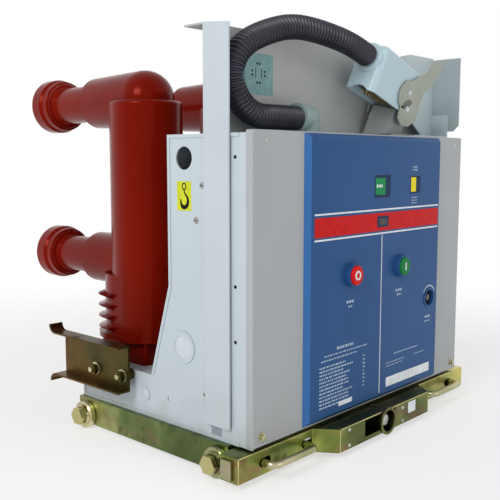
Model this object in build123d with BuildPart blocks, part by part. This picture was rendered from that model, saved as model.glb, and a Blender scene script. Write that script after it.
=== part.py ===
from build123d import *
import os
from math import cos, pi, radians, sin, tan

os.makedirs("parts", exist_ok=True)

# Withdrawable indoor vacuum circuit breaker, three poles, on a wheeled truck.
# Millimetres. X runs to the right, Y to the back and Z up. The wheels stand on Z = 0,
# and the origin is under the middle of the whole truck.

# Reach of the truck in front of and behind the face of the front cover
front_reach = 37.0
rear_reach = 596.0
front_y = (front_reach - rear_reach) / 2

# Poles and contacts
pole_pitch = 210.0
lower_contact_z = 280.0
contact_spacing = 275.0
upper_contact_z = lower_contact_z + contact_spacing
pole_back = 318.0
pole_y = front_y + pole_back
pole_r = 61.5
pole_shoulder_z = upper_contact_z - 3.0
pole_shoulder_fillet = 6.0
head_r = 48.5
head_end_r = 44.0
head_length = 127.0
collar_r = 44.5
collar_length = 132.0
lower_body_shift = 20.0
lower_body_top_z = lower_contact_z - 18.0
pole_foot_z = 152.0
foot_flange_height = 9.0
foot_flange_grow = 3.0
foot_flange_shift = 34.0
foot_half_width = 42.0
foot_front = 38.0
foot_back = 82.0
foot_edge_fillet = 8.0
shed_count = 4
shed_pitch = 18.8
shed_first_z = 171.0
shed_depth = 12.0
shed_half_angle = 66.0
shed_under = 7.0
shed_over = 4.0

# Contact arms with their bells, and the tulip contacts inside the bells
arm_root_y = pole_y + collar_length
arm_root_r = 43.0
arm_cone_length = 12.0
arm_r = 32.5
bell_r = 49.0
arm_edge_fillet = 3.0
bell_ring_r = 45.0
contact_tip_y = front_y + rear_reach
bell_end_y = contact_tip_y - 5.0
bell_start_y = bell_end_y - 30.0
bell_ring_y = bell_start_y - 14.0
bell_lip = 4.0
bell_inner_r = 42.0
bell_depth = 40.0
contact_outer_r = 40.0
contact_bore_r = 24.5
contact_bore_depth = 40.0
contact_chamfer = 3.0

# Sheet metal housing
sheet = 2.5
side_x = 292.0
side_bottom_z = 50.0
side_top_z = 492.0
side_top_rear = 172.0
side_knee = 273.0
side_slope_top = 266.0
side_inner = 216.0
side_shelf_z = 118.5
side_rear = 397.0
side_corner_r = 8.0
side_front = 2.0
rim_width = 5.0
rim_height = 1.5
lift_hole_y = 137.0
lift_hole_z = 457.6
lift_hole_r = 17.0
cap_y = 141.7
cap_z = 175.2
cap_r = 24.5
cap_recess_r = 18.0
cap_height = 2.0
small_cap_y = 231.7
small_cap_z = 85.2
small_cap_r = 10.7
small_cap_recess_r = 6.0
drain_hole_y = 175.8
drain_hole_z = 88.4
drain_hole_r = 3.5
notch_y = 72.0
notch_z = 62.3
notch_width = 22.0
notch_height = 13.0
notch_depth = 1.0
floor_z = 112.0

# Front cover and its raised panel
cover_half = 294.0
cover_bottom_z = 52.0
cover_top_z = 496.0
cover_depth = 12.0
cover_sheet = 2.0
cover_fillet = 3.0
panel_centre_x = 12.0
panel_width = 390.0
panel_bottom_z = 55.0
panel_top_z = 494.0
panel_rise = 8.0
panel_bevel = 7.5
panel_face_y = front_y - panel_rise

# Things on the panel, at their height over the ground
button_x = 71.0
button_z = 276.0
button_r = 15.5
button_gap = 0.4
button_reach = 12.0
button_travel = 6.0
bezel_r = 19.0
bezel_height = 9.0
button_stem = 16.0
charge_x = 172.0
charge_z = 208.0
charge_r = 14.5
charge_rim_r = 18.0
charge_rim_height = 1.5
window_depth = 2.0
closed_window = (12.7, 412.5, 47.0, 37.0)
charged_window = (115.5, 413.0, 34.0, 30.0)
counter_window = (14.8, 355.0, 34.0, 19.0)
window_glass = 1.6

# Partition board behind the housing's top, with its side strips
board_y = front_y + 88.0
board_half = 295.0
board_top_z = 645.0
board_flange = 43.0
strip_front = 41.0
strip_bottom_z = 71.0
strip_top_z = 640.0
strip_gap = 3.0
wing_front = 8.0
wing_bottom_z = 509.0
wing_corner = 11.0
strip_pad_r = 7.0
strip_pad_y = 66.0
strip_pad_heights = (120.0, 290.0, 460.0)

# Truck
rail_x = 302.0
rail_bottom_z = 6.0
rail_top_z = side_bottom_z
rail_sheet = 3.0
rail_flange = 30.0
rail_front = 40.0
rail_rear = 397.0
wheel_r = 23.0
wheel_step_r = 18.0
wheel_step = 4.0
wheel_front = 59.0
wheel_rear = 374.0
wheel_gap = 0.5
wheel_width = 14.0
axle_r = 8.0
axle_gap = 0.3
hex_across = 26.0
hex_height = 9.0
member_depth = 20.0
member_front = 44.0
member_rear = rail_rear - member_depth
nut_depth = 34.0
nut_half = 17.0

# Racking beam, its screw and its two handles
beam_half = 324.0
beam_bottom_z = 10.0
beam_top_z = 47.0
beam_sheet = 2.5
beam_depth = 34.0
box_half = 133.0
box_wing = 24.0
box_reach = 34.0
box_window_left = -65.0
box_window_right = 25.0
box_lip = 7.0
sleeve_z = 28.0
sleeve_r = 20.5
sleeve_wall = 2.5
sleeve_ring_r = 19.0 + 4.0
sleeve_ring = 3.0
screw_r = 9.0
screw_gap = 0.4
screw_hex = 17.0
screw_hex_start = -30.0
screw_hex_end = -8.0
screw_end = 285.0
handle_inner_x = 176.0
handle_outer_x = 272.0
handle_rod_r = 5.5
handle_bend_r = 12.0
handle_reach = 22.0
handle_z = 28.0
handle_travel = 10.0
handle_slot_height = 14.0
handle_slot_spare = 2.0
link_y = 8.0
link_thickness = 5.0
link_height = 14.0
tongue_front = 10.0
tongue_rear = 30.0
tongue_bottom_z = 14.0
tongue_top_z = 42.0
tongue_length = 26.0
tongue_reach = 4.0
tongue_gap = 0.3
louvre_r = 14.0
louvre_rise = 5.0

# Shutter drive brackets on the housing's sides
bracket_web_x = 310.0
bracket_sheet = 3.0
bracket_outer_x = 332.0
bracket_bottom_z = 87.0
bracket_top_z = 162.0
bracket_front = 252.0
bracket_rear = 424.0
bracket_curl_r = 12.0
bracket_corner = 12.0
stud_r = 5.0
stud_spacer_r = 9.0
stud_nut_across = 15.0
stud_nut = 8.0
stud_places = ((337.0, 110.5), (267.0, 111.0))

# Control hose, its gland and its plug
hose_d = 37.0
hose_y = front_y + 62.0
gland_x = -100.0
hose_exit_x = -126.0
hose_exit_z = side_top_z + 27.0
hose_last_run = 46.0
gland_flange_r = 24.5
gland_flange = 4.0
gland_body_r = 21.0
gland_nut_r = 23.0
gland_nut = 14.0
hood_corner = (8.0, front_y + 12.0, 566.0)
hood_tilt = 16.0
hood_yaw = 4.0
hood_roll = 13.0
hood_length = 120.0
hood_depth = 58.0
hood_height = 78.0
hood_wall = 5.0
hood_round = 11.0
hood_entry_r = 22.0
hood_entry = 6.0
hood_entry_height = 53.0
hood_notch_r = 24.0
hood_notch_drop = 17.0
insert_recess = 12.0
insert_depth = 30.0
insert_gap = 0.3
pin_r = 1.5
pin_length = 10.0
pin_rows = 3
pin_columns = 8
pin_pitch = 9.0
lever_plate = 2.5
lever_gap = 1.0
lever_pivot = (114.5, 9.0)
lever_peg_r = 4.0
lever_peg_gap = 0.3
lever_peg_reach = 4.5
lever_bar = (131.0, 32.0)
lever_bar_r = 4.0
lever_fillet = 2.5
holder_gap = 0.5
holder_block_start = 92.0
holder_block_end = 140.0
holder_block_inset = 7.0
holder_block_drop = 60.0
holder_arm_z = 500.0
holder_arm_sheet = 3.0
holder_arm_start = 100.0
holder_arm_front = 30.0
holder_arm_rear = 67.0
holder_flange_top_z = 540.0
holder_shield_left = 180.0
holder_shield_step = 211.0
holder_shield_cut = (225.0, 522.0)
holder_shield_foot = 262.0
holder_shield_left_z = 642.0
holder_shield_top_z = 648.0

left_right = (("left", -1), ("right", 1))
pole_places = (("left", -pole_pitch), ("middle", 0.0), ("right", pole_pitch))


def save(block, name):
    """Label a finished piece and write it to its own file."""
    block.part.label = name
    export_step(block.part, f"parts/{name}.step")


# Poles: one casting each, with a horizontal head at the top for the upper arm, a short
# collar for the lower arm, a deeper lower body with sheds at the back, and a foot.
for place, x in pole_places:
    with BuildPart() as pole:
        with BuildSketch(Plane.XZ.offset(-pole_y)):
            with BuildLine():
                FilletPolyline(
                    (x + pole_r, pole_foot_z),
                    (x + pole_r, pole_shoulder_z),
                    (x, pole_shoulder_z),
                    radius=pole_shoulder_fillet,
                )
                Polyline(
                    (x, pole_shoulder_z),
                    (x, pole_foot_z),
                    (x + pole_r, pole_foot_z),
                )
            make_face()
        revolve(axis=Axis((x, pole_y, 0), (0, 0, 1)))
        with Locations((x, pole_y, upper_contact_z)):
            Sphere(head_r)
        with BuildSketch(Plane.XZ.offset(-pole_y)):
            with Locations((x, upper_contact_z)):
                Circle(head_r)
        with BuildSketch(Plane.XZ.offset(-pole_y - head_length)):
            with Locations((x, upper_contact_z)):
                Circle(head_end_r)
        loft()
        with BuildSketch(Plane.XZ.offset(-pole_y)):
            with Locations((x, lower_contact_z)):
                Circle(collar_r)
        extrude(amount=-collar_length)
        with BuildSketch(Plane.XY.offset(pole_foot_z)):
            with Locations((x, pole_y), (x, pole_y + lower_body_shift)):
                Circle(pole_r)
            make_hull()
        extrude(amount=lower_body_top_z - pole_foot_z)
        # Sheds round the back of the lower body
        for number in range(shed_count):
            z = shed_first_z + number * shed_pitch
            with BuildSketch(Plane.XZ.offset(-pole_y - lower_body_shift)):
                with BuildLine():
                    Polyline(
                        (x + pole_r - 2, z - shed_under),
                        (x + pole_r + shed_depth, z),
                        (x + pole_r - 2, z + shed_over),
                        close=True,
                    )
                make_face()
            shed_axis = Axis((x, pole_y + lower_body_shift, 0), (0, 0, 1))
            revolve(axis=shed_axis, revolution_arc=180)
        # Foot flange and foot
        with BuildSketch(Plane.XY.offset(pole_foot_z)):
            with Locations((x, pole_y), (x, pole_y + foot_flange_shift)):
                Circle(pole_r + foot_flange_grow)
            make_hull()
        extrude(amount=foot_flange_height)
        with BuildSketch(Plane.XY.offset(floor_z)):
            with Locations((x, pole_y + (foot_back - foot_front) / 2)):
                RectangleRounded(2 * foot_half_width, foot_front + foot_back, foot_edge_fillet)
        extrude(amount=pole_foot_z - floor_z)
    save(pole, f"pole_{place}")

# Contact arms: an epoxy sleeve that ends in a bell, and the tulip contact inside it
for level, z, root in (
    ("upper", upper_contact_z, pole_y + head_length),
    ("lower", lower_contact_z, pole_y + collar_length),
):
    for place, x in pole_places:
        with BuildPart() as arm:
            with BuildSketch(Plane.XY.offset(z)):
                with BuildLine():
                    FilletPolyline(
                        (x, root),
                        (x + arm_root_r, root),
                        (x + arm_r, root + arm_cone_length),
                        (x + arm_r, bell_ring_y - 4),
                        (x + bell_ring_r, bell_ring_y),
                        (x + bell_ring_r, bell_start_y - 3),
                        (x + bell_r, bell_start_y + 3),
                        (x + bell_r, bell_end_y - bell_lip),
                        (x + bell_r - bell_lip, bell_end_y),
                        (x + bell_inner_r, bell_end_y),
                        radius=arm_edge_fillet,
                    )
                    Polyline(
                        (x + bell_inner_r, bell_end_y),
                        (x + bell_inner_r, bell_end_y - bell_depth),
                        (x, bell_end_y - bell_depth),
                        (x, root),
                    )
                make_face()
            revolve(axis=Axis((x, 0, z), (0, 1, 0)))
        save(arm, f"arm_{level}_{place}")

        with BuildPart() as contact:
            back_y = bell_end_y - bell_depth
            with BuildSketch(Plane.XY.offset(z)):
                with BuildLine():
                    Polyline(
                        (x, back_y),
                        (x + contact_outer_r, back_y),
                        (x + contact_outer_r, contact_tip_y - contact_chamfer),
                        (x + contact_outer_r - contact_chamfer, contact_tip_y),
                        (x + contact_bore_r, contact_tip_y),
                        (x + contact_bore_r, contact_tip_y - contact_bore_depth),
                        (x, contact_tip_y - contact_bore_depth),
                        close=True,
                    )
                make_face()
            revolve(axis=Axis((x, 0, z), (0, 1, 0)))
        save(contact, f"contact_{level}_{place}")

# Side plates of the housing, with a raised rim, a lifting hole and two plugged holes
side_outline = [
    (front_y + side_front, side_bottom_z),
    (front_y + side_rear, side_bottom_z),
    (front_y + side_rear, side_shelf_z),
    (front_y + side_inner, side_shelf_z),
    (front_y + side_top_rear, side_slope_top),
    (front_y + side_top_rear, side_top_z),
    (front_y + side_front, side_top_z),
]
rim_outline = side_outline[1:6]
for name, side in left_right:
    outer = Plane.YZ.offset(side * side_x)
    inward = -side * sheet
    with BuildPart() as plate:
        with BuildSketch(outer):
            with BuildLine():
                Polyline(*side_outline, close=True)
            make_face()
        extrude(amount=inward)
        corner = plate.edges().filter_by(Axis.X).group_by(Axis.Z)[-1].sort_by(Axis.Y)[-1]
        fillet(corner, radius=side_corner_r)
        # Raised rim along the bottom, the back and the top of the plate
        with BuildSketch(outer):
            with BuildLine():
                Polyline(*side_outline, close=True)
            make_face()
            with BuildLine():
                Polyline(
                    (front_y + side_front, side_bottom_z + rim_width),
                    (front_y + side_rear - rim_width, side_bottom_z + rim_width),
                    (front_y + side_rear - rim_width, side_shelf_z),
                    (front_y + side_inner - rim_width, side_shelf_z),
                    (front_y + side_top_rear - rim_width, side_slope_top - rim_width / 2),
                    (front_y + side_top_rear - rim_width, side_top_z - rim_width),
                    (front_y + side_front, side_top_z - rim_width),
                    close=True,
                )
            make_face(mode=Mode.SUBTRACT)
            with Locations((front_y + (strip_front + cover_depth) / 2, side_top_z / 2)):
                Rectangle(side_rear, side_top_z, align=(Align.MAX, Align.CENTER), mode=Mode.SUBTRACT)
        extrude(amount=side * rim_height)
        with BuildSketch(outer):
            with Locations((front_y + cap_y, cap_z)):
                Circle(cap_r)
                Circle(cap_recess_r, mode=Mode.SUBTRACT)
            with Locations((front_y + small_cap_y, small_cap_z)):
                Circle(small_cap_r)
                Circle(small_cap_recess_r, mode=Mode.SUBTRACT)
        extrude(amount=side * cap_height)
        with BuildSketch(outer):
            with Locations((front_y + lift_hole_y, lift_hole_z)):
                Circle(lift_hole_r)
            with Locations((front_y + drain_hole_y, drain_hole_z)):
                Circle(drain_hole_r)
        extrude(amount=inward, mode=Mode.SUBTRACT)
        # Shallow pressed field near the plate's lower front corner
        with BuildSketch(outer):
            with Locations((front_y + notch_y, notch_z)):
                Rectangle(notch_width, notch_height)
        extrude(amount=-side * notch_depth, mode=Mode.SUBTRACT)
    save(plate, f"side_plate_{name}")

# Housing: one folded sheet that makes the bottom, the back and the top
inner_x = side_x - sheet
with BuildPart() as case:
    with BuildSketch(Plane.YZ.offset(-inner_x)):
        with BuildLine():
            front = front_y + cover_depth
            rear = front_y + side_top_rear
            Polyline(
                (front, side_bottom_z),
                (rear, side_bottom_z),
                (rear, side_top_z),
                (front, side_top_z),
                (front, side_top_z - sheet),
                (rear - sheet, side_top_z - sheet),
                (rear - sheet, side_bottom_z + sheet),
                (front, side_bottom_z + sheet),
                close=True,
            )
        make_face()
    extrude(amount=2 * inner_x)
save(case, "mechanism_case")

# Floor under the poles, folded down at the back
with BuildPart() as floor_sheet:
    with BuildSketch(Plane.YZ.offset(-inner_x)):
        with BuildLine():
            start = front_y + side_top_rear
            end = front_y + side_rear
            Polyline(
                (start, floor_z),
                (end, floor_z),
                (end, side_bottom_z),
                (end - sheet, side_bottom_z),
                (end - sheet, floor_z - sheet),
                (start, floor_z - sheet),
                close=True,
            )
        make_face()
    extrude(amount=2 * inner_x)
save(floor_sheet, "pole_floor")

# Front cover: a shallow pan over the housing's open front
with BuildPart() as cover:
    with BuildSketch(Plane.XZ.offset(-front_y)):
        with Locations((0, (cover_bottom_z + cover_top_z) / 2)):
            Rectangle(2 * cover_half, cover_top_z - cover_bottom_z)
    extrude(amount=-cover_depth)
    fillet(cover.edges().filter_by(Axis.Y), radius=cover_fillet)
    fillet(cover.faces().sort_by(Axis.Y)[0].edges(), radius=cover_fillet / 2)
    # Hollow behind the face, open at the back and at the bottom
    with BuildSketch(Plane.XZ.offset(-front_y - cover_sheet)):
        with Locations((0, cover_bottom_z)):
            Rectangle(
                2 * (cover_half - cover_sheet),
                2 * (cover_top_z - cover_sheet - cover_bottom_z),
            )
    extrude(amount=-cover_depth, mode=Mode.SUBTRACT)
    with BuildSketch(Plane.XZ.offset(-front_y)):
        with Locations((-button_x, button_z), (button_x, button_z)):
            Circle(button_r + button_gap)
        with Locations((charge_x, charge_z)):
            Circle(charge_rim_r)
    extrude(amount=-cover_sheet, mode=Mode.SUBTRACT)
save(cover, "front_cover")

# Raised panel with its bezels, windows and the hole for the charging handle
panel_z = (panel_bottom_z + panel_top_z) / 2
with BuildPart() as panel:
    with BuildSketch(Plane.XZ.offset(-front_y)):
        with Locations((panel_centre_x, panel_z)):
            Rectangle(panel_width, panel_top_z - panel_bottom_z)
    extrude(amount=panel_rise)
    chamfer(panel.faces().sort_by(Axis.Y)[0].edges(), length=panel_bevel)
    with BuildSketch(Plane.XZ.offset(-panel_face_y)):
        with Locations((-button_x, button_z), (button_x, button_z)):
            Circle(bezel_r)
    extrude(amount=bezel_height)
    with BuildSketch(Plane.XZ.offset(-panel_face_y)):
        with Locations((charge_x, charge_z)):
            Circle(charge_rim_r)
    extrude(amount=charge_rim_height)
    with BuildSketch(Plane.XZ.offset(-panel_face_y + bezel_height)):
        with Locations((-button_x, button_z), (button_x, button_z)):
            Circle(button_r + button_gap)
    extrude(amount=-bezel_height - panel_rise, mode=Mode.SUBTRACT)
    with BuildSketch(Plane.XZ.offset(-panel_face_y + charge_rim_height)):
        with Locations((charge_x, charge_z)):
            Circle(charge_r)
    extrude(amount=-charge_rim_height - panel_rise, mode=Mode.SUBTRACT)
    with BuildSketch(Plane.XZ.offset(-panel_face_y)):
        for window_x, window_z, width, height in (closed_window, charged_window, counter_window):
            with Locations((window_x, window_z)):
                Rectangle(width, height)
    extrude(amount=-window_depth, mode=Mode.SUBTRACT)
save(panel, "front_panel")

with BuildPart() as windows:
    with BuildSketch(Plane.XZ.offset(-panel_face_y - window_depth)):
        for window_x, window_z, width, height in (closed_window, charged_window, counter_window):
            with Locations((window_x, window_z)):
                Rectangle(width, height)
    extrude(amount=window_glass)
save(windows, "indicator_windows")

# Push buttons, which slide in their bezels
for name, side in (("off", -1), ("on", 1)):
    with BuildPart() as button:
        with BuildSketch(Plane.XZ.offset(-panel_face_y + button_reach)):
            with Locations((side * button_x, button_z)):
                Circle(button_r)
        extrude(amount=-button_reach - button_stem)
        fillet(button.faces().sort_by(Axis.Y)[0].edges(), radius=2)
    save(button, f"button_{name}")

# Partition board with its folded top, and the strips down the housing's sides
with BuildPart() as board:
    with BuildSketch(Plane.YZ.offset(-board_half)):
        with BuildLine():
            Polyline(
                (board_y, side_top_z),
                (board_y, board_top_z),
                (board_y + board_flange, board_top_z),
                (board_y + board_flange, board_top_z - sheet),
                (board_y + sheet, board_top_z - sheet),
                (board_y + sheet, side_top_z),
                close=True,
            )
        make_face()
    extrude(amount=2 * board_half)
save(board, "partition_board")

for name, side in left_right:
    inner = side * (side_x + strip_gap)
    back = board_y + sheet
    with BuildPart() as strip:
        with BuildSketch(Plane.YZ.offset(inner)):
            with BuildLine():
                if side < 0:
                    Polyline(
                        (front_y + strip_front, strip_bottom_z),
                        (back, strip_bottom_z),
                        (back, board_top_z),
                        (front_y + strip_front, strip_top_z),
                        close=True,
                    )
                else:
                    Polyline(
                        (front_y + strip_front, strip_bottom_z),
                        (back, strip_bottom_z),
                        (back, board_top_z),
                        (front_y + wing_front, board_top_z),
                        (front_y + wing_front, wing_bottom_z + wing_corner),
                        (front_y + wing_front + wing_corner, wing_bottom_z),
                        (front_y + strip_front, wing_bottom_z),
                        close=True,
                    )
            make_face()
        extrude(amount=side * sheet)
        with BuildSketch(Plane.YZ.offset(inner)):
            with Locations(*[(front_y + strip_pad_y, z) for z in strip_pad_heights]):
                Circle(strip_pad_r)
        extrude(amount=-side * strip_gap)
    save(strip, f"board_strip_{name}")

# Truck rails: channels that open inwards, each with its two wheel bolts
for name, side in left_right:
    with BuildPart() as rail:
        with BuildSketch(Plane.XZ.offset(-front_y - rail_front)):
            with BuildLine():
                web = rail_x - rail_sheet
                edge = rail_x - rail_flange
                Polyline(
                    (side * rail_x, rail_bottom_z),
                    (side * rail_x, rail_top_z),
                    (side * edge, rail_top_z),
                    (side * edge, rail_top_z - rail_sheet),
                    (side * web, rail_top_z - rail_sheet),
                    (side * web, rail_bottom_z + rail_sheet),
                    (side * edge, rail_bottom_z + rail_sheet),
                    (side * edge, rail_bottom_z),
                    close=True,
                )
            make_face()
        extrude(amount=-(rail_rear - rail_front))
        axle_places = [(front_y + y, wheel_r) for y in (wheel_front, wheel_rear)]
        with BuildSketch(Plane.YZ.offset(side * web)):
            with Locations(*axle_places):
                Circle(axle_r)
        extrude(amount=side * (rail_sheet + wheel_width + 2 * wheel_gap))
        with BuildSketch(Plane.YZ.offset(side * (rail_x + wheel_width + 2 * wheel_gap))):
            with Locations(*axle_places):
                RegularPolygon(hex_across / 2, 6, major_radius=False)
        extrude(amount=side * hex_height)
    save(rail, f"truck_rail_{name}")

# Wheels: stepped rollers that turn on the bolts
for end, y in (("front", front_y + wheel_front), ("rear", front_y + wheel_rear)):
    for name, side in left_right:
        near = side * (rail_x + wheel_gap)
        far = side * (rail_x + wheel_gap + wheel_width)
        step = side * (rail_x + wheel_gap + wheel_width - wheel_step)
        bore = axle_r + axle_gap
        with BuildPart() as wheel:
            with BuildSketch(Plane.XY.offset(wheel_r)):
                with BuildLine():
                    Polyline(
                        (near, y + bore),
                        (near, y + wheel_r - 1),
                        (near + side, y + wheel_r),
                        (step - side, y + wheel_r),
                        (step, y + wheel_r - 1),
                        (step, y + wheel_step_r),
                        (far, y + wheel_step_r - 1),
                        (far, y + bore),
                        close=True,
                    )
                make_face()
            revolve(axis=Axis((0, y, wheel_r), (1, 0, 0)))
        save(wheel, f"wheel_{end}_{name}")

# Cross members between the rails; the front one carries the nut of the racking screw
member_top = rail_top_z - rail_sheet
member_bottom = rail_bottom_z + rail_sheet
with BuildPart() as members:
    for y in (member_front, member_rear):
        with BuildSketch(Plane.YZ.offset(-web)):
            with BuildLine():
                a = front_y + y
                b = a + member_depth
                Polyline(
                    (a, member_bottom),
                    (a, member_top),
                    (b, member_top),
                    (b, member_top - rail_sheet),
                    (a + rail_sheet, member_top - rail_sheet),
                    (a + rail_sheet, member_bottom),
                    close=True,
                )
            make_face()
        extrude(amount=2 * web)
    with BuildSketch(Plane.XZ.offset(-front_y - member_front)):
        with Locations((0, sleeve_z)):
            Rectangle(2 * nut_half, 2 * (member_top - rail_sheet - sleeve_z))
    extrude(amount=-nut_depth)
    with BuildSketch(Plane.XZ.offset(-front_y - member_front)):
        with Locations((0, sleeve_z)):
            Circle(screw_r + screw_gap)
    extrude(amount=-nut_depth, mode=Mode.SUBTRACT)
save(members, "truck_cross_members")

# Racking beam: a straight channel with a box in the middle and the crank's sleeve
beam_front_line = [
    (-beam_half, front_y),
    (-box_half - box_wing, front_y),
    (-box_half, front_y - box_reach),
    (box_half, front_y - box_reach),
    (box_half + box_wing, front_y),
    (beam_half, front_y),
]
slot_length = handle_travel + 2 * handle_rod_r + 2 * handle_slot_spare
slot_centres = []
for side in (-1, 1):
    for x in (handle_inner_x, handle_outer_x):
        slot_centres.append((side * (x - handle_travel / 2), handle_z))
with BuildPart() as beam:
    with BuildSketch(Plane.XY.offset(beam_bottom_z)):
        with BuildLine():
            Polyline(
                *beam_front_line,
                (beam_half, front_y + beam_depth),
                (-beam_half, front_y + beam_depth),
                close=True,
            )
        make_face()
    extrude(amount=beam_top_z - beam_bottom_z)
    # Hollow of the channel, open to the back
    with BuildSketch(Plane.XY.offset(beam_bottom_z + beam_sheet)):
        with Locations((0, front_y + beam_sheet)):
            Rectangle(
                2 * (beam_half - beam_sheet),
                beam_depth,
                align=(Align.CENTER, Align.MIN),
            )
    extrude(amount=beam_top_z - beam_bottom_z - 2 * beam_sheet, mode=Mode.SUBTRACT)
    # Hollow of the box in front of the straight web
    with BuildSketch(Plane.XY.offset(beam_bottom_z + beam_sheet)):
        with BuildLine():
            slant = box_wing - beam_sheet
            Polyline(
                (-box_half - slant, front_y),
                (-box_half, front_y - box_reach + beam_sheet),
                (box_half, front_y - box_reach + beam_sheet),
                (box_half + slant, front_y),
                close=True,
            )
        make_face()
    extrude(amount=beam_top_z - beam_bottom_z - 2 * beam_sheet, mode=Mode.SUBTRACT)
    with BuildSketch(Plane.XZ.offset(-front_y + box_reach)):
        with BuildLine():
            Polyline(
                (box_window_left, beam_bottom_z + box_lip),
                (box_window_right, beam_bottom_z + box_lip),
                (box_window_right, beam_top_z - beam_sheet),
                (box_window_left, beam_top_z - beam_sheet),
                close=True,
            )
        make_face()
    extrude(amount=-beam_sheet, mode=Mode.SUBTRACT)
    # Sleeve for the crank
    with BuildSketch(Plane.XZ.offset(-front_y)):
        with Locations((0, sleeve_z)):
            Circle(sleeve_r)
    extrude(amount=front_reach)
    with BuildSketch(Plane.XZ.offset(-front_y + front_reach)):
        with Locations((0, sleeve_z)):
            Circle(sleeve_ring_r)
    extrude(amount=-sleeve_ring)
    with BuildSketch(Plane.XZ.offset(-front_y + front_reach)):
        with Locations((0, sleeve_z)):
            Circle(sleeve_r - sleeve_wall)
    extrude(amount=-front_reach, mode=Mode.SUBTRACT)
    with BuildSketch(Plane.XZ.offset(-front_y)):
        with Locations((0, sleeve_z)):
            Circle(screw_r + screw_gap)
        with Locations(*slot_centres):
            SlotOverall(slot_length, handle_slot_height)
    extrude(amount=-beam_sheet, mode=Mode.SUBTRACT)
    # Mouths for the lock tongues in both ends
    with BuildSketch(Plane.YZ.offset(-beam_half)):
        with BuildLine():
            Polyline(
                (front_y + tongue_front - tongue_gap, tongue_bottom_z - tongue_gap),
                (front_y + tongue_rear + tongue_gap, tongue_bottom_z - tongue_gap),
                (front_y + tongue_rear + tongue_gap, tongue_top_z + tongue_gap),
                (front_y + tongue_front - tongue_gap, tongue_top_z + tongue_gap),
                close=True,
            )
        make_face()
    extrude(amount=2 * beam_half, mode=Mode.SUBTRACT)
save(beam, "racking_beam")

# Racking screw, turned by a crank on its hexagon end
with BuildPart() as screw:
    with BuildSketch(Plane.XZ.offset(-front_y - screw_hex_start)):
        with Locations((0, sleeve_z)):
            RegularPolygon(screw_hex / 2, 6, major_radius=False)
    extrude(amount=screw_hex_start - screw_hex_end)
    with BuildSketch(Plane.XZ.offset(-front_y - screw_hex_end)):
        with Locations((0, sleeve_z)):
            Circle(screw_r)
    extrude(amount=screw_hex_end - screw_end)
save(screw, "racking_screw")

# Handles: a bent rod in front, a link behind the web and a lock tongue at the end
for name, side in left_right:
    with BuildPart() as handle:
        with BuildLine() as rod_path:
            FilletPolyline(
                (side * handle_inner_x, front_y + link_y, handle_z),
                (side * handle_inner_x, front_y - handle_reach, handle_z),
                (side * handle_outer_x, front_y - handle_reach, handle_z),
                (side * handle_outer_x, front_y + link_y, handle_z),
                radius=handle_bend_r,
            )
        with BuildSketch(Plane(rod_path.line @ 0, z_dir=rod_path.line % 0)):
            Circle(handle_rod_r)
        sweep()
        link_start = handle_inner_x - handle_rod_r
        link_end = beam_half + tongue_reach - tongue_length
        with BuildSketch(Plane.XZ.offset(-front_y - link_y)):
            with Locations((side * (link_start + link_end) / 2, handle_z)):
                Rectangle(link_end - link_start, link_height)
        extrude(amount=-link_thickness)
        with BuildSketch(Plane.YZ.offset(side * link_end)):
            with BuildLine():
                Polyline(
                    (front_y + tongue_front, tongue_bottom_z),
                    (front_y + tongue_rear, tongue_bottom_z),
                    (front_y + tongue_rear, tongue_top_z),
                    (front_y + tongue_front, tongue_top_z),
                    close=True,
                )
            make_face()
        extrude(amount=side * tongue_length)
    save(handle, f"beam_handle_{name}")

# Shutter drive brackets: channels on studs, with flared ends for the shutter's roller
for name, side in left_right:
    with BuildPart() as bracket:
        with BuildSketch(Plane.XZ.offset(-front_y - bracket_front)):
            with BuildLine():
                web_in = side * (bracket_web_x - bracket_sheet)
                web_out = side * bracket_web_x
                lip = side * bracket_outer_x
                Polyline(
                    (web_in, bracket_bottom_z),
                    (lip, bracket_bottom_z),
                    (lip, bracket_bottom_z + bracket_sheet),
                    (web_out, bracket_bottom_z + bracket_sheet),
                    (web_out, bracket_top_z - bracket_sheet),
                    (lip, bracket_top_z - bracket_sheet),
                    (lip, bracket_top_z),
                    (web_in, bracket_top_z),
                    close=True,
                )
            make_face()
        extrude(amount=-(bracket_rear - bracket_front))
        # Quarter rolls at the rear ends of both flanges
        for edge_z, turn in ((bracket_top_z, 1), (bracket_bottom_z, -1)):
            with BuildSketch(Plane.YZ.offset(web_in)):
                with BuildLine():
                    y = front_y + bracket_rear
                    inner_r = bracket_curl_r
                    outer_r = bracket_curl_r + bracket_sheet
                    centre_z = edge_z + turn * inner_r
                    mid = cos(pi / 4)
                    ThreePointArc(
                        (y, centre_z - turn * inner_r),
                        (y + inner_r * mid, centre_z - turn * inner_r * mid),
                        (y + inner_r, centre_z),
                    )
                    Line((y + inner_r, centre_z), (y + outer_r, centre_z))
                    ThreePointArc(
                        (y + outer_r, centre_z),
                        (y + outer_r * mid, centre_z - turn * outer_r * mid),
                        (y, centre_z - turn * outer_r),
                    )
                    Line((y, centre_z - turn * outer_r), (y, centre_z - turn * inner_r))
                make_face()
            extrude(amount=side * (bracket_outer_x - bracket_web_x + bracket_sheet))
        stud_points = [(front_y + y, z) for y, z in stud_places]
        with BuildSketch(Plane.YZ.offset(side * side_x)):
            with Locations(*stud_points):
                Circle(stud_spacer_r)
        extrude(amount=side * (bracket_web_x - bracket_sheet - side_x))
        with BuildSketch(Plane.YZ.offset(web_out)):
            with Locations(*stud_points):
                RegularPolygon(stud_nut_across / 2, 6, major_radius=False)
        extrude(amount=side * stud_nut)
    save(bracket, f"shutter_bracket_{name}")

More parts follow.
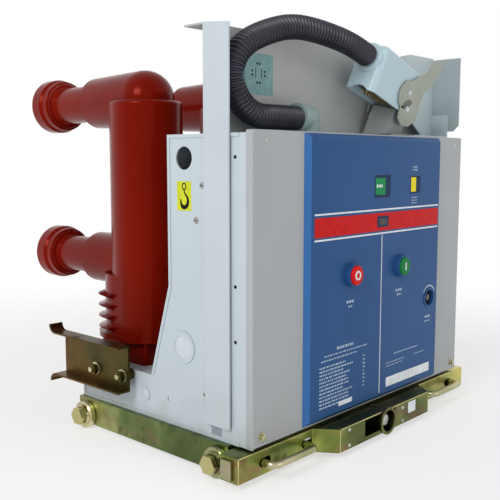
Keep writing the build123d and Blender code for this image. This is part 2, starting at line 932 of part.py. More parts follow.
# Gland: an elbow on the housing's top that the hose leaves sideways
with BuildPart() as gland:
    with BuildSketch(Plane.XY.offset(side_top_z)):
        with Locations((gland_x, hose_y)):
            Circle(gland_flange_r)
    extrude(amount=gland_flange)
    with BuildSketch(Plane.XY.offset(side_top_z + gland_flange)):
        with Locations((gland_x, hose_y)):
            Circle(gland_body_r)
    extrude(amount=hose_exit_z - side_top_z - gland_flange)
    with Locations((gland_x, hose_y, hose_exit_z)):
        Sphere(gland_body_r)
    with BuildSketch(Plane.YZ.offset(gland_x)):
        with Locations((hose_y, hose_exit_z)):
            Circle(gland_body_r)
    extrude(amount=hose_exit_x + gland_nut - gland_x)
    with BuildSketch(Plane.YZ.offset(hose_exit_x + gland_nut)):
        with Locations((hose_y, hose_exit_z)):
            Circle(gland_nut_r)
    extrude(amount=-gland_nut)
save(gland, "hose_gland")

# Plug hood, turned in space: its own plane has X along the hood, Y to its back, Z up it
hood_frame = Location(hood_corner) * Location((0, 0, 0), (0, 0, hood_yaw))
hood_frame = hood_frame * Location((0, 0, 0), (0, hood_tilt, 0))
hood_frame = hood_frame * Location((0, 0, 0), (hood_roll, 0, 0))
hood_base = Plane(hood_frame)
hood_front = Plane(hood_base.origin, x_dir=hood_base.x_dir, z_dir=-hood_base.y_dir)
hood_end = Plane(hood_base.origin, x_dir=hood_base.y_dir, z_dir=hood_base.x_dir)

with BuildPart() as hood:
    with BuildSketch(hood_base):
        with Locations((hood_length / 2, hood_depth / 2)):
            Rectangle(hood_length, hood_depth)
    extrude(amount=hood_height)
    upright = Axis(hood_base.origin, hood_base.z_dir)
    left_edges = hood.edges().filter_by(upright).sort_by(Axis.X)[:2]
    top_edges = hood.faces().sort_by(Axis.Z)[-1].edges()
    fillet(top_edges + left_edges, radius=hood_round)
    with BuildSketch(hood_base):
        with Locations((hood_length / 2, hood_depth / 2)):
            Rectangle(hood_length - 2 * hood_wall, hood_depth - 2 * hood_wall)
    extrude(amount=hood_height - hood_round, mode=Mode.SUBTRACT)
    with BuildSketch(hood_end):
        with Locations((hood_depth / 2, hood_entry_height)):
            Circle(hood_entry_r)
    extrude(amount=-hood_entry)
    with BuildSketch(hood_end):
        with Locations((hood_depth / 2, -hood_notch_drop)):
            Circle(hood_notch_r)
    extrude(amount=hood_wall, mode=Mode.SUBTRACT)
    # Pegs of the locking lever on both long walls
    with BuildSketch(hood_front):
        with Locations(lever_pivot):
            Circle(lever_peg_r)
    extrude(amount=lever_peg_reach)
    with BuildSketch(hood_front.offset(-hood_depth)):
        with Locations(lever_pivot):
            Circle(lever_peg_r)
    extrude(amount=-lever_peg_reach)
save(hood, "plug_hood")

# Contact insert inside the hood, with its pins
insert_length = hood_length - 2 * hood_wall - 2 * insert_gap
insert_width = hood_depth - 2 * hood_wall - 2 * insert_gap
with BuildPart() as insert:
    with BuildSketch(hood_base.offset(insert_recess)):
        with Locations((hood_length / 2, hood_depth / 2)):
            Rectangle(insert_length, insert_width)
    extrude(amount=insert_depth)
    with BuildSketch(hood_base.offset(insert_recess)):
        with Locations((hood_length / 2, hood_depth / 2)):
            with GridLocations(pin_pitch, pin_pitch, pin_columns, pin_rows):
                Circle(pin_r)
    extrude(amount=-pin_length)
save(insert, "plug_insert")

# Holder: a block under the hood's right end, on an arm that the right strip carries
with BuildPart() as holder:
    with BuildSketch(hood_base.offset(-holder_gap)):
        with Locations(((holder_block_start + holder_block_end) / 2, hood_depth / 2)):
            Rectangle(holder_block_end - holder_block_start, hood_depth - 2 * holder_block_inset)
    extrude(amount=-holder_block_drop)
    split(bisect_by=Plane.XY.offset(holder_arm_z), keep=Keep.TOP)
    arm_end = side_x + strip_gap
    with BuildSketch(Plane.XZ.offset(-front_y - holder_arm_front)):
        with BuildLine():
            Polyline(
                (holder_arm_start, holder_arm_z - holder_arm_sheet),
                (arm_end, holder_arm_z - holder_arm_sheet),
                (arm_end, holder_flange_top_z),
                (arm_end - holder_arm_sheet, holder_flange_top_z),
                (arm_end - holder_arm_sheet, holder_arm_z),
                (holder_arm_start, holder_arm_z),
                close=True,
            )
        make_face()
    extrude(amount=-(holder_arm_rear - holder_arm_front))
    # Upright shield beside the hood, from the arm up to the board's top
    with BuildSketch(Plane.XZ.offset(-front_y - holder_arm_rear)):
        with BuildLine():
            Polyline(
                (arm_end, holder_arm_z - holder_arm_sheet),
                (arm_end, holder_shield_top_z),
                (holder_shield_step, holder_shield_top_z),
                (holder_shield_left, holder_shield_left_z),
                holder_shield_cut,
                (holder_shield_foot, holder_arm_z - holder_arm_sheet),
                close=True,
            )
        make_face()
    extrude(amount=holder_arm_sheet)
save(holder, "plug_holder")

# Locking lever: a front cheek with the handle and a smaller cheek behind, joined by a bar
# beyond the hood's end, which turn on the hood's pegs
lobe_left_end = (113.0, 66.0)
lobe_right_end = (148.0, 50.0)
lobe_outline = [
    lobe_left_end,
    (78.0, 38.0),
    (75.0, 24.0),
    (84.0, 10.0),
    (99.0, 9.0),
    (99.0, 0.0),
    (92.0, -2.0),
    (97.0, -14.0),
    (115.0, -20.0),
    (136.0, -16.0),
    (153.0, 0.0),
    (148.0, 36.0),
    lobe_right_end,
]
handle_outline = [
    lobe_right_end,
    (166.0, 72.0),
    (178.0, 104.0),
    (175.0, 120.0),
    (141.0, 105.0),
    (142.0, 88.0),
    lobe_left_end,
]
with BuildPart() as lever:
    with BuildSketch(hood_front.offset(lever_gap)):
        with BuildLine():
            Polyline(*lobe_outline, *handle_outline[1:])
        make_face()
        fillet(vertices(), radius=lever_fillet)
    extrude(amount=lever_plate)
    with BuildSketch(hood_front.offset(-hood_depth - lever_gap)):
        with BuildLine():
            Polyline(*lobe_outline, close=True)
        make_face()
        fillet(vertices(), radius=lever_fillet)
    extrude(amount=-lever_plate)
    with BuildSketch(hood_front.offset(lever_gap)):
        with Locations(lever_bar):
            Circle(lever_bar_r)
    extrude(amount=-hood_depth - 2 * lever_gap)
    with BuildSketch(hood_front.offset(lever_gap + lever_plate)):
        with Locations(lever_pivot):
            Circle(lever_peg_r + lever_peg_gap)
    extrude(amount=-hood_depth - 2 * lever_gap - 2 * lever_plate, mode=Mode.SUBTRACT)
save(lever, "plug_lever")

# Control hose: straight runs joined by tangent arcs
hose_route = [
    (hose_exit_x, hose_y, hose_exit_z),
    (-172.0, hose_y, hose_exit_z),
    (-224.0, hose_y, 518.0),
    (-262.0, hose_y, 543.0),
    (-274.0, hose_y - 1, 582.0),
    (-252.0, hose_y - 2, 616.0),
    (-206.0, hose_y - 5, 638.0),
    (-150.0, hose_y - 11, 654.0),
    (-92.0, hose_y - 22, 650.0),
]
for distance in (hood_entry + hose_last_run, hood_entry):
    place = hood_frame * Location((-distance, hood_depth / 2, hood_entry_height))
    hose_route.append(tuple(place.position))


def bend_radii(points):
    """Radius of each corner: 0.45 of its shorter run over the tangent of half the turn."""
    radii = []
    for before, corner, after in zip(points, points[1:], points[2:]):
        run_in = Vector(*corner) - Vector(*before)
        run_out = Vector(*after) - Vector(*corner)
        turn = radians(run_in.get_angle(run_out))
        radii.append(0.45 * min(run_in.length, run_out.length) / tan(turn / 2))
    return radii


hose_radii = bend_radii(hose_route)
print("hose radii", [round(radius) for radius in hose_radii])
with BuildPart() as hose:
    with BuildLine() as route:
        FilletPolyline(*hose_route, radius=hose_radii)
    with BuildSketch(Plane(route.line @ 0, z_dir=route.line % 0)):
        Circle(hose_d / 2)
    sweep()
hose_length = sum(edge.length for edge in route.line.edges())
hose_volume = pi * (hose_d / 2) ** 2 * hose_length
print("hose length", round(hose_length), "volume ratio", round(hose.part.volume / hose_volume, 4))
save(hose, "control_hose")
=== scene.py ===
# %% [markdown]
# # A withdrawable three-pole circuit breaker, dressed for its photograph
#
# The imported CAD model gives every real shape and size. This script adds what CAD leaves out:
# finishes made of shader nodes, the ribs of the control hose, the fingers of the contacts,
# screws, signs and printed marks. Everything is in metres and in the frame of the CAD model, so
# a new piece is modelled where it belongs and its object stays at the origin.

import math
import random

import bmesh
import bpy
from mathutils import Matrix, Vector


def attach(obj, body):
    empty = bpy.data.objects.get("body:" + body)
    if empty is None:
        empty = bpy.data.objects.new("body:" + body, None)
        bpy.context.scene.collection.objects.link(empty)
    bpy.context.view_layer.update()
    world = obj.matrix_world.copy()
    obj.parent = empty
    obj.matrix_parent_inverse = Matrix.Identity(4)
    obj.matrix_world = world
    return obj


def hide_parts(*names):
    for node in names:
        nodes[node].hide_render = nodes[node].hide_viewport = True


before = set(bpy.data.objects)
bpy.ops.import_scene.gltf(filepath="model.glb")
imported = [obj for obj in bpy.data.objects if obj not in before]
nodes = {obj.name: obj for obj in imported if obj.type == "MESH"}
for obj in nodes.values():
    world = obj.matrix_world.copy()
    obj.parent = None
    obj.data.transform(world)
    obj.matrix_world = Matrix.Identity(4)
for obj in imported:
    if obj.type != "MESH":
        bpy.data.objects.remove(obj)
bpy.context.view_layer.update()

# %% [markdown]
# ## Places on the breaker
#
# A drawing of a breaker is in millimetres and Blender works in metres. Sizes typed in metres
# would match no ruler, so two helpers do the change. `mm` turns numbers into metres, and `spot`
# gives a place as a fitter would: from the middle, behind the front cover's face, above the floor.

# %% Places on the breaker
MM = 0.001
FRONT = -279.5 * MM
PANEL = FRONT - 8 * MM
SIDE = 292
SIDES = (-1, 1)


def mm(*values):
    """Three numbers in millimetres as a vector in metres."""
    return Vector([value * MM for value in values])


def spot(x, behind, z):
    """A place in millimetres: from the middle, behind the cover's face, above the floor."""
    return Vector((x * MM, FRONT + behind * MM, z * MM))


print("Cover face at y =", FRONT, "and raised panel at y =", PANEL)

# %% [markdown]
# ## Shader arithmetic
#
# Nodes could be placed and linked one by one, but a page of links is hard to read. A `Value`
# wraps a socket and overloads the operators, so `1.0 - mask` adds its own Math node and a finish
# reads like a formula. Colours go through Mix, because a Math node would turn them gray.


# %% Value: a socket with arithmetic
class Value:
    """An output socket that can be added, multiplied and compared."""

    def __init__(self, graph, socket):
        self.graph = graph
        self.socket = socket

    def calculate(self, operation, *others):
        return self.graph.node("ShaderNodeMath", {"operation": operation}, *others)

    def __add__(self, other):
        return self.calculate("ADD", self, other)

    def __radd__(self, other):
        return self.calculate("ADD", other, self)

    def __sub__(self, other):
        return self.calculate("SUBTRACT", self, other)

    def __rsub__(self, other):
        return self.calculate("SUBTRACT", other, self)

    def __mul__(self, other):
        return self.calculate("MULTIPLY", self, other)

    def __rmul__(self, other):
        return self.calculate("MULTIPLY", other, self)

    def __abs__(self):
        return self.calculate("ABSOLUTE", self)

    def __gt__(self, other):
        return self.calculate("GREATER_THAN", self, other)

    def __lt__(self, other):
        return self.calculate("LESS_THAN", self, other)

    def between(self, low, high):
        """0 below low, 1 above high and a smooth step from one to the other."""
        settings = {"interpolation_type": "SMOOTHSTEP"}
        return self.graph.node("ShaderNodeMapRange", settings, self, low, high, 0.0, 1.0)

    def band(self, centre, width):
        """1 near centre and 0 further away than width."""
        return 1.0 - abs(self - centre).between(0.6 * width, width)

    def mix(self, first, second):
        """The first colour where this is 0 and the second where it is 1."""
        sockets = {0: self, 6: first, 7: second}
        return self.graph.node("ShaderNodeMix", {"data_type": "RGBA"}, sockets, output=2)

    def ramp(self, *stops):
        """Colours by place from 0 to 1."""
        return self.graph.node("ShaderNodeValToRGB", {"stops": stops}, self)


print("A value can be added, subtracted, multiplied, compared, mixed and ramped")

# %% [markdown]
# `Graph` holds the nodes of one material. Its `node` method makes every kind of node in the same
# order: the settings first, because they can change which sockets there are, then the sockets.
# Patterns read Object coordinates, so they sit still in the breaker's own frame.


# %% Graph: the nodes of one material
class Graph:
    """The nodes of one material or of the world."""

    def __init__(self, name, library=None):
        library = bpy.data.materials if library is None else library
        self.material = library.new(name)
        self.material.use_nodes = True
        self.tree = self.material.node_tree
        self.tree.nodes.clear()
        self.place = self.node("ShaderNodeTexCoord", {}, output="Object")

    def node(self, kind, settings, *values, output=0):
        """A new node with these settings, fed with numbers, colours or other sockets."""
        made = self.tree.nodes.new(kind)
        for key, setting in settings.items():
            if key == "stops":
                self.set_stops(made.color_ramp.elements, setting)
            else:
                setattr(made, key, setting)
        named = values[0] if values and isinstance(values[0], dict) else dict(enumerate(values))
        for key, value in named.items():
            self.feed(made.inputs[key], value)
        return Value(self, made.outputs[output]) if made.outputs else None

    def set_stops(self, elements, stops):
        while len(elements) < len(stops):
            elements.new(0.5)
        for element, (place, colour) in zip(elements, stops):
            element.position = place
            element.color = (*colour, 1.0)

    def feed(self, socket, value):
        if isinstance(value, Value):
            self.tree.links.new(value.socket, socket)
        elif isinstance(value, tuple) and len(value) == 3 and len(socket.default_value) == 4:
            socket.default_value = (*value, 1.0)
        else:
            socket.default_value = value

    def axis(self, letter):
        return self.node("ShaderNodeSeparateXYZ", {}, self.place, output=letter)

    def noise(self, scale, detail=3.0, stretch=None, distortion=0.0):
        """Soft noise from 0 to 1, with scale in cells to the metre."""
        place = self.place
        if stretch:
            settings = {"operation": "MULTIPLY"}
            place = self.node("ShaderNodeVectorMath", settings, place, stretch)
        sockets = {"Vector": place, "Scale": scale, "Detail": detail, "Distortion": distortion}
        return self.node("ShaderNodeTexNoise", {}, sockets)

    def grains(self, scale):
        """Distance to the nearest of a cloud of points."""
        return self.node("ShaderNodeTexVoronoi", {}, {"Vector": self.place, "Scale": scale})

    def bump(self, height, strength, distance):
        sockets = {"Strength": strength, "Distance": distance, "Height": height}
        return self.node("ShaderNodeBump", {}, sockets, output="Normal")

    def surface(self, base, roughness, normal, **rest):
        """The shader itself, joined to the output. The rest are plain numbers by name."""
        sockets = {"Base Color": base, "Roughness": roughness, "Normal": normal}
        for key, value in rest.items():
            sockets[key.replace("_", " ").title().replace("Ior", "IOR")] = value
        shader = self.node("ShaderNodeBsdfPrincipled", {}, sockets)
        self.node("ShaderNodeOutputMaterial", {}, shader)
        return self.material


finish = {}
print("Finishes so far:", len(finish))

# %% [markdown]
# ## Powder coat
#
# The housing is folded sheet with powder coat, baked on in one coat. It could be one flat
# colour, but the real coat drifts a little in colour, has a fine orange peel and takes dust near
# the floor. All three are noise, at three sizes, and only the peel goes into the bump.

# %% Powder coat
DUST = (0.30, 0.27, 0.22)
DUST_FULL, DUST_NONE = 0.04, 0.16
DUST_COVER = 0.35


def dusty(graph, base):
    """The base colour with dust that fades out upwards."""
    near_floor = 1.0 - graph.axis("Z").between(DUST_FULL, DUST_NONE)
    cover = near_floor * graph.noise(14.0, 5.0).between(0.35, 0.75)
    return (cover * DUST_COVER).mix(base, DUST)


def paint(name, colour, roughness, peel=0.25, grain=1500.0, shade=0.06):
    """Powder coat: a little uneven in colour, with orange peel."""
    graph = Graph(name)
    darker = tuple(part * (1 - 2 * shade) for part in colour)
    lighter = tuple(min(1.0, part * (1 + shade)) for part in colour)
    base = dusty(graph, graph.noise(6.0, 4.0).between(0.3, 0.7).mix(darker, lighter))
    rough = roughness + graph.noise(40.0, 4.0) * 0.12 - 0.06
    fine = graph.noise(grain, 2.0) + graph.noise(grain / 6, 2.0) * 0.8
    normal = graph.bump(fine, peel, 0.0002)
    return graph.surface(base, rough, normal, specular_ior_level=0.5)


finish["pale"] = paint("pale_paint", (0.475, 0.54, 0.58), 0.36, peel=0.15, shade=0.015)
finish["cover"] = paint("cover_paint", (0.37, 0.39, 0.40), 0.48, peel=0.3, grain=900.0, shade=0.02)
finish["board"] = paint("board_paint", (0.42, 0.43, 0.425), 0.45, peel=0.2, shade=0.03)
finish["strip"] = paint("strip_paint", (0.48, 0.535, 0.575), 0.40, peel=0.15, shade=0.015)
# The right strip has the same paint as the left one; this darker copy is painted shade from the
# plug and the hose.
finish["strip_in_shade"] = paint("strip_paint_in_shade", (0.33, 0.385, 0.40), 0.36, peel=0.15, shade=0.03)
finish["hood"] = paint(
    "hood_paint", (0.44, 0.58, 0.64), 0.38, peel=0.25, grain=1100.0, shade=0.03
)
print("Paints:", list(finish))

# %% [markdown]
# ## A paint and a painted highlight that change over the piece
#
# The plug's holder is one CAD node, but its block is darker than its upright shield. The raised
# panel's left bevel catches the light, and a painted highlight makes it paler. Splitting the mesh
# would work, but a step on the X coordinate gives each area its colour and leaves the CAD node
# alone.

# %% Shield and panel
BLOCK_END = 0.172
BEVEL_END = -0.1754


def shield_paint(name):
    """Pale blue-gray shield beside the plug, with a darker block under the plug."""
    graph = Graph(name)
    base = (graph.axis("X") < BLOCK_END).mix((0.50, 0.58, 0.60), (0.26, 0.28, 0.28))
    normal = graph.bump(graph.noise(1500.0, 2.0), 0.15, 0.0002)
    return graph.surface(base, 0.36 + graph.noise(40.0, 4.0) * 0.08, normal)


def panel_blue(name):
    """Satin blue of the raised panel, with a painted highlight on its left bevel."""
    graph = Graph(name)
    drift = graph.noise(5.0, 4.0).between(0.3, 0.7)
    base = drift.mix((0.019, 0.072, 0.205), (0.022, 0.080, 0.222))
    # The left bevel is painted paler: a painted highlight for the light from the left.
    bevel = graph.axis("X") < BEVEL_END
    base = (bevel * 0.8).mix(base, (0.050, 0.155, 0.390))
    rough = 0.34 + graph.noise(40.0, 4.0) * 0.08
    normal = graph.bump(graph.noise(1500.0, 2.0), 0.1, 0.0002)
    return graph.surface(
        base, rough, normal, specular_ior_level=0.25, specular_tint=(0.2, 0.5, 1.0)
    )


finish["shield"] = shield_paint("shield_paint")
finish["blue"] = panel_blue("blue_paint")
print("Shield and panel:", finish["shield"].name, finish["blue"].name)

# %% [markdown]
# ## Print and moulded plastic
#
# Ink and film lie flat on the panel and hardly shine, while a moulded part has a faint grain
# from its tool and a light clear coat. Both could share one shader with more arguments, but two
# short ones are easier to read. The buttons' faces are matt like print, so they use that one.


# %% Print and film
def printed(name, colour, roughness=0.42):
    """Printing ink or film on a panel."""
    graph = Graph(name)
    darker = tuple(part * 0.86 for part in colour)
    base = graph.noise(90.0, 3.0).between(0.35, 0.65).mix(darker, colour)
    normal = graph.bump(graph.noise(1300.0, 2.0), 0.12, 0.0001)
    return graph.surface(base, roughness, normal, specular_ior_level=0.1)


# Dark ink for printed marks; the same dark is also painted shade in the holes, the screw sockets,
# the lever's slot and the charging hole.
finish["dark"] = printed("dark_ink_and_shade", (0.008, 0.009, 0.01), 0.8)
finish["red"] = printed("red_button", (0.66, 0.006, 0.006), 0.25)
finish["green"] = printed("green_button", (0.003, 0.19, 0.045), 0.25)
finish["banner"] = printed("banner_red", (0.60, 0.005, 0.006), 0.35)
finish["faint"] = printed("faint_print", (0.42, 0.52, 0.62))
finish["white"] = printed("white_print", (0.78, 0.82, 0.84))
finish["lime_sign"] = printed("sign_yellow", (0.60, 0.64, 0.03), 0.3)
finish["yellow"] = printed("yellow_film", (0.85, 0.72, 0.02), 0.3)
finish["leaf"] = printed("green_film", (0.01, 0.26, 0.08), 0.3)
finish["tab"] = printed("tab_gray", (0.30, 0.33, 0.36), 0.5)
# Dark blue painted shade for the hollows of the indicator windows.
finish["hollow_shade"] = printed("window_hollow_shade", (0.010, 0.030, 0.085), 0.4)
finish["teal"] = printed("teal_film", (0.23, 0.40, 0.40), 0.35)
print("With print and film:", len(finish))


# %% Moulded plastic
def moulded(name, colour, roughness, coat):
    """Moulded plastic with a fine grain."""
    graph = Graph(name)
    darker = tuple(part * 0.8 for part in colour)
    base = graph.noise(30.0, 3.0).mix(darker, colour)
    rough = roughness + graph.noise(300.0, 3.0) * 0.1
    normal = graph.bump(graph.grains(2200.0), 0.08, 0.0001)
    return graph.surface(base, rough, normal, coat_weight=coat)


finish["gland"] = moulded("gland_plastic", (0.26, 0.36, 0.35), 0.4, 0.0)
finish["lever"] = moulded("lever_steel", (0.33, 0.355, 0.295), 0.3, 0.0)
finish["black"] = moulded("black_plastic", (0.02, 0.02, 0.022), 0.4, 0.1)
finish["caps"] = moulded("white_cap", (0.60, 0.64, 0.70), 0.35, 0.2)
print("With moulded plastic:", len(finish))

# %% [markdown]
# ## Yellow passivated zinc
#
# The truck is zinc plated and then dipped, which leaves a film so thin that its colour drifts
# between yellow, green and pink. A photograph of such steel could be laid on, but it would
# repeat. Here slow distorted noise drives a colour ramp over bright metal, a second noise adds
# the pink, and a third the grime. The beam's middle is darker than its ends, and the heads of
# the wheel bolts are brighter than the rail that carries them.

# %% Yellow passivated zinc
MIDDLE_TONE = (0.030, 0.040, 0.012)
MIDDLE_REACH = 0.16
HEADS_FROM = 0.320


def chromate(name, pale, deep, pink, green, roughness=0.26, heads=None, dim=0.0):
    """A rainbow film that drifts over bright steel."""
    graph = Graph(name)
    drift = graph.noise(4.5, 7.0, distortion=0.8) * 0.75 + graph.noise(22.0, 4.0) * 0.25
    base = drift.ramp((0.28, deep), (0.46, green), (0.58, pale), (0.74, deep))
    film_drift = graph.noise(9.0, 5.0, stretch=(1.0, 1.0, 2.5), distortion=1.5)
    base = (film_drift.between(0.52, 0.72) * 0.55).mix(base, pink)
    bright = graph.noise(13.0, 3.0, stretch=(1.0, 1.0, 0.4)).between(0.55, 0.8)
    base = (bright * 0.5).mix(base, pale)
    grime = graph.noise(30.0, 7.0).between(0.56, 0.74)
    base = (grime * 0.55).mix(base, (0.025, 0.025, 0.010))
    across = graph.axis("X")
    if dim:
        base = (across.band(0.0, MIDDLE_REACH) * dim).mix(base, MIDDLE_TONE)
    if heads:
        base = (abs(across) > HEADS_FROM).mix(base, heads)
    rough = roughness + grime * 0.2 + graph.noise(120.0, 3.0) * 0.1
    uneven = graph.noise(500.0, 3.0) + graph.noise(26.0, 2.0) * 3.0
    return graph.surface(base, rough, graph.bump(uneven, 0.16, 0.0004), metallic=1.0)


finish["chromate"] = chromate(
    "yellow_chromate", pale=(0.66, 0.58, 0.15), deep=(0.060, 0.075, 0.020),
    pink=(0.34, 0.12, 0.09), green=(0.20, 0.25, 0.06), dim=0.55,
)
finish["rail"] = chromate(
    "rail_chromate", pale=(0.34, 0.36, 0.14), deep=(0.060, 0.080, 0.028),
    pink=(0.24, 0.13, 0.09), green=(0.13, 0.18, 0.06), heads=(0.50, 0.45, 0.20),
)
finish["olive"] = chromate(
    "olive_chromate", pale=(0.15, 0.080, 0.020), deep=(0.045, 0.018, 0.004),
    pink=(0.14, 0.035, 0.015), green=(0.070, 0.062, 0.014), roughness=0.30,
)
finish["zinc"] = chromate(
    "zinc_chromate", pale=(0.66, 0.60, 0.38), deep=(0.25, 0.21, 0.10),
    pink=(0.46, 0.27, 0.30), green=(0.36, 0.37, 0.20), roughness=0.16,
)
print("With passivated zinc:", len(finish))

# %% [markdown]
# ## Bare and plated steel
#
# Screws, springs and the racking screw are turned or plated. A plain metallic shader looks like
# a mirror, so noise stretched round the part stands for the marks of turning. It changes the
# roughness, which breaks up the reflection, and hardly touches the colour.


# %% Steel
def steel(name, colour, roughness=0.34):
    """Machined or plated steel with fine turning marks."""
    graph = Graph(name)
    darker = tuple(part * 0.6 for part in colour)
    base = graph.noise(45.0, 5.0).between(0.3, 0.75).mix(darker, colour)
    rough = roughness + graph.noise(150.0, 4.0, stretch=(1, 6, 6)) * 0.2
    normal = graph.bump(graph.noise(900.0, 3.0), 0.16, 0.0001)
    return graph.surface(base, rough, normal, metallic=1.0)


# Bright yellow metal for the strips of painted highlight along the beam's top edge and folds.
finish["edge"] = steel("edge_highlight_metal", (0.80, 0.72, 0.30), 0.25)
finish["steel"] = steel("bright_steel", (0.62, 0.62, 0.60))
finish["silver"] = steel("silver_plate", (0.80, 0.79, 0.76), 0.26)
finish["brass"] = steel("brass_pins", (0.78, 0.60, 0.28), 0.25)
finish["shaft"] = steel("dark_steel", (0.20, 0.20, 0.20), 0.4)
print("With steel:", len(finish))

# %% [markdown]
# ## Cast epoxy
#
# The poles are cast in oxide red resin, which is glossy but never quite flat. The skin waves as
# it shrinks, and paler flow marks run along it. A white studio would wash the red out, so the
# gloss is kept low and tinted red, which is a constant on the shader's own sockets.


# %% Cast epoxy
def epoxy(name):
    """Glossy casting resin with a wavy skin and fine flow marks."""
    graph = Graph(name)
    drift = graph.noise(4.0, 3.0).between(0.3, 0.7)
    base = drift.mix((0.120, 0.0035, 0.0008), (0.185, 0.0055, 0.0010))
    flow = graph.noise(14.0, 4.0, stretch=(1.0, 1.0, 0.2))
    base = (flow.between(0.5, 0.85) * 0.25).mix(base, (0.27, 0.020, 0.005))
    rough = 0.17 + graph.noise(25.0, 4.0).between(0.4, 0.8) * 0.1
    wave = graph.noise(20.0, 2.0) + graph.noise(420.0, 2.0) * 0.03
    normal = graph.bump(wave, 0.25, 0.0010)
    return graph.surface(
        base, rough, normal, specular_ior_level=0.30, specular_tint=(1.0, 0.16, 0.10)
    )


finish["epoxy"] = epoxy("red_epoxy")
print("Poles and arms:", finish["epoxy"].name)

# %% [markdown]
# ## Hose plastic
#
# The hose is black corrugated conduit. Pure black would show no form, so its base is a very dark
# blue-gray, and an uneven roughness lets some ribs shine more than others.


# %% Hose plastic
def conduit(name):
    """Black corrugated plastic with a blue-gray sheen."""
    graph = Graph(name)
    drift = graph.noise(22.0, 4.0).between(0.3, 0.7)
    base = drift.mix((0.010, 0.010, 0.016), (0.024, 0.025, 0.040))
    rough = 0.30 + graph.noise(80.0, 4.0) * 0.16
    normal = graph.bump(graph.noise(1200.0, 2.0), 0.15, 0.0001)
    return graph.surface(base, rough, normal, specular_ior_level=0.5)


finish["conduit"] = conduit("hose_plastic")
print("Finishes in all:", len(finish))

# %% [markdown]
# ## CAD nodes
#
# A CAD node whose shape is right keeps its mesh and only gets a finish. The finishes could be
# listed node by node, but like nodes start with the same words, so the longest start that fits
# a node's name picks its finish.

# %% Finishes of the CAD nodes
dress = {
    "truck_rail": "rail", "truck_cross": "rail", "racking_beam": "chromate",
    "beam_handle": "zinc", "racking_screw": "steel", "wheel": "zinc",
    "pole_floor": "pale", "mechanism_case": "pale", "side_plate": "pale",
    "front_cover": "cover", "front_panel": "blue", "indicator": "black",
    # The right strip gets the darker copy of the strip paint: painted shade.
    "partition_board": "board", "board_strip_left": "strip", "board_strip_right": "strip_in_shade",
    "hose_gland": "gland", "plug_hood": "hood", "plug_insert": "black", "plug_holder": "shield",
    "plug_lever": "lever", "shutter_bracket": "olive", "pole_": "epoxy", "arm_": "epoxy",
    "contact_": "silver", "button_off": "red", "button_on": "green", "control_hose": "conduit",
}
for name, node in nodes.items():
    start = max((start for start in dress if name.startswith(start)), key=len)
    node.data.materials.clear()
    node.data.materials.append(finish[dress[start]])
print("CAD nodes dressed:", len(nodes))

# %% [markdown]
# ## Fittings
#
# The small parts of a breaker are boxes, discs, hexagons and rings. Primitives from the Add menu
# would each be an object with a place of its own. A bmesh takes many shapes, each made at its
# place by an operator, and becomes one object at the origin, which is what Object coordinates
# need. A `Fitting` is such a bmesh. Its sizes are in millimetres and its places are vectors.


# %% Fitting
def standing(place, normal):
    """The matrix that stands a shape on place, with its Z along normal."""
    turned = Vector(normal).to_track_quat("Z", "Y").to_matrix().to_4x4()
    return Matrix.Translation(place) @ turned


class Fitting:
    """Small shapes that are shaped in one bmesh and ride together."""

    def __init__(self):
        self.mesh = bmesh.new()

    def round_off(self, verts, width):
        if width > 0:
            edges = list({edge for vert in verts for edge in vert.link_edges})
            bmesh.ops.bevel(
                self.mesh, geom=edges, offset=width * MM, offset_type="OFFSET", affect="EDGES",
                segments=2, profile=0.5, material=-1, clamp_overlap=True,
            )

    def box(self, low, high, bevel=0.0):
        """A box between two corners, with rounded edges."""
        size = [abs(part) for part in high - low]
        place = Matrix.Translation((low + high) / 2) @ Matrix.Diagonal((*size, 1.0))
        made = bmesh.ops.create_cube(self.mesh, size=1.0, matrix=place)
        self.round_off(made["verts"], bevel)
        return self

    def drum(self, place, normal, radius, height, sides=32, tip=None, bevel=0.0):
        """A disc, prism or cone that stands on place and grows along normal."""
        tip = radius if tip is None else tip
        middle = standing(place, normal) @ Matrix.Translation((0, 0, height * MM / 2))
        made = bmesh.ops.create_cone(
            self.mesh, cap_ends=True, segments=sides, radius1=radius * MM, radius2=tip * MM,
            depth=height * MM, matrix=middle,
        )
        self.round_off(made["verts"], bevel)
        return self

    def ring(self, place, normal, radius, thickness, segments=48):
        """A wire ring: a small circle spun round the normal."""
        start = standing(place, normal) @ Matrix.Translation((radius * MM, 0, 0))
        upright = Matrix.Rotation(math.pi / 2, 4, "X") @ Matrix.Rotation(-math.pi / 2, 4, "Z")
        made = bmesh.ops.create_circle(
            self.mesh, cap_ends=False, segments=10, radius=thickness * MM, matrix=start @ upright
        )
        edges = list({edge for vert in made["verts"] for edge in vert.link_edges})
        bmesh.ops.spin(
            self.mesh, geom=made["verts"] + edges, cent=place, axis=normal,
            angle=2 * math.pi, steps=segments, use_merge=True,
        )
        return self

    def done(self, name, look, body="truck", slot=None, smooth=40.0):
        """Makes the shapes a piece that rides on a CAD body."""
        bmesh.ops.recalc_face_normals(self.mesh, faces=self.mesh.faces)
        data = bpy.data.meshes.new(name)
        self.mesh.to_mesh(data)
        self.mesh.free()
        piece = bpy.data.objects.new(name, data)
        bpy.context.scene.collection.objects.link(piece)
        data.materials.append(finish[look])
        data.shade_smooth()
        data.set_sharp_from_angle(angle=math.radians(smooth))
        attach(piece, body)
        print(f"{name}: {len(data.polygons)} faces on {body}")
        return piece


# %% [markdown]
# ## Banner and lines of the panel
#
# The panel is screen printed: a red banner between two pale lines and one line down the middle.
# A painted texture would need an image, and a mask in the blue shader would be soft at its
# edges. A film 0.3 mm thick has the sharp edge of print and needs no map.


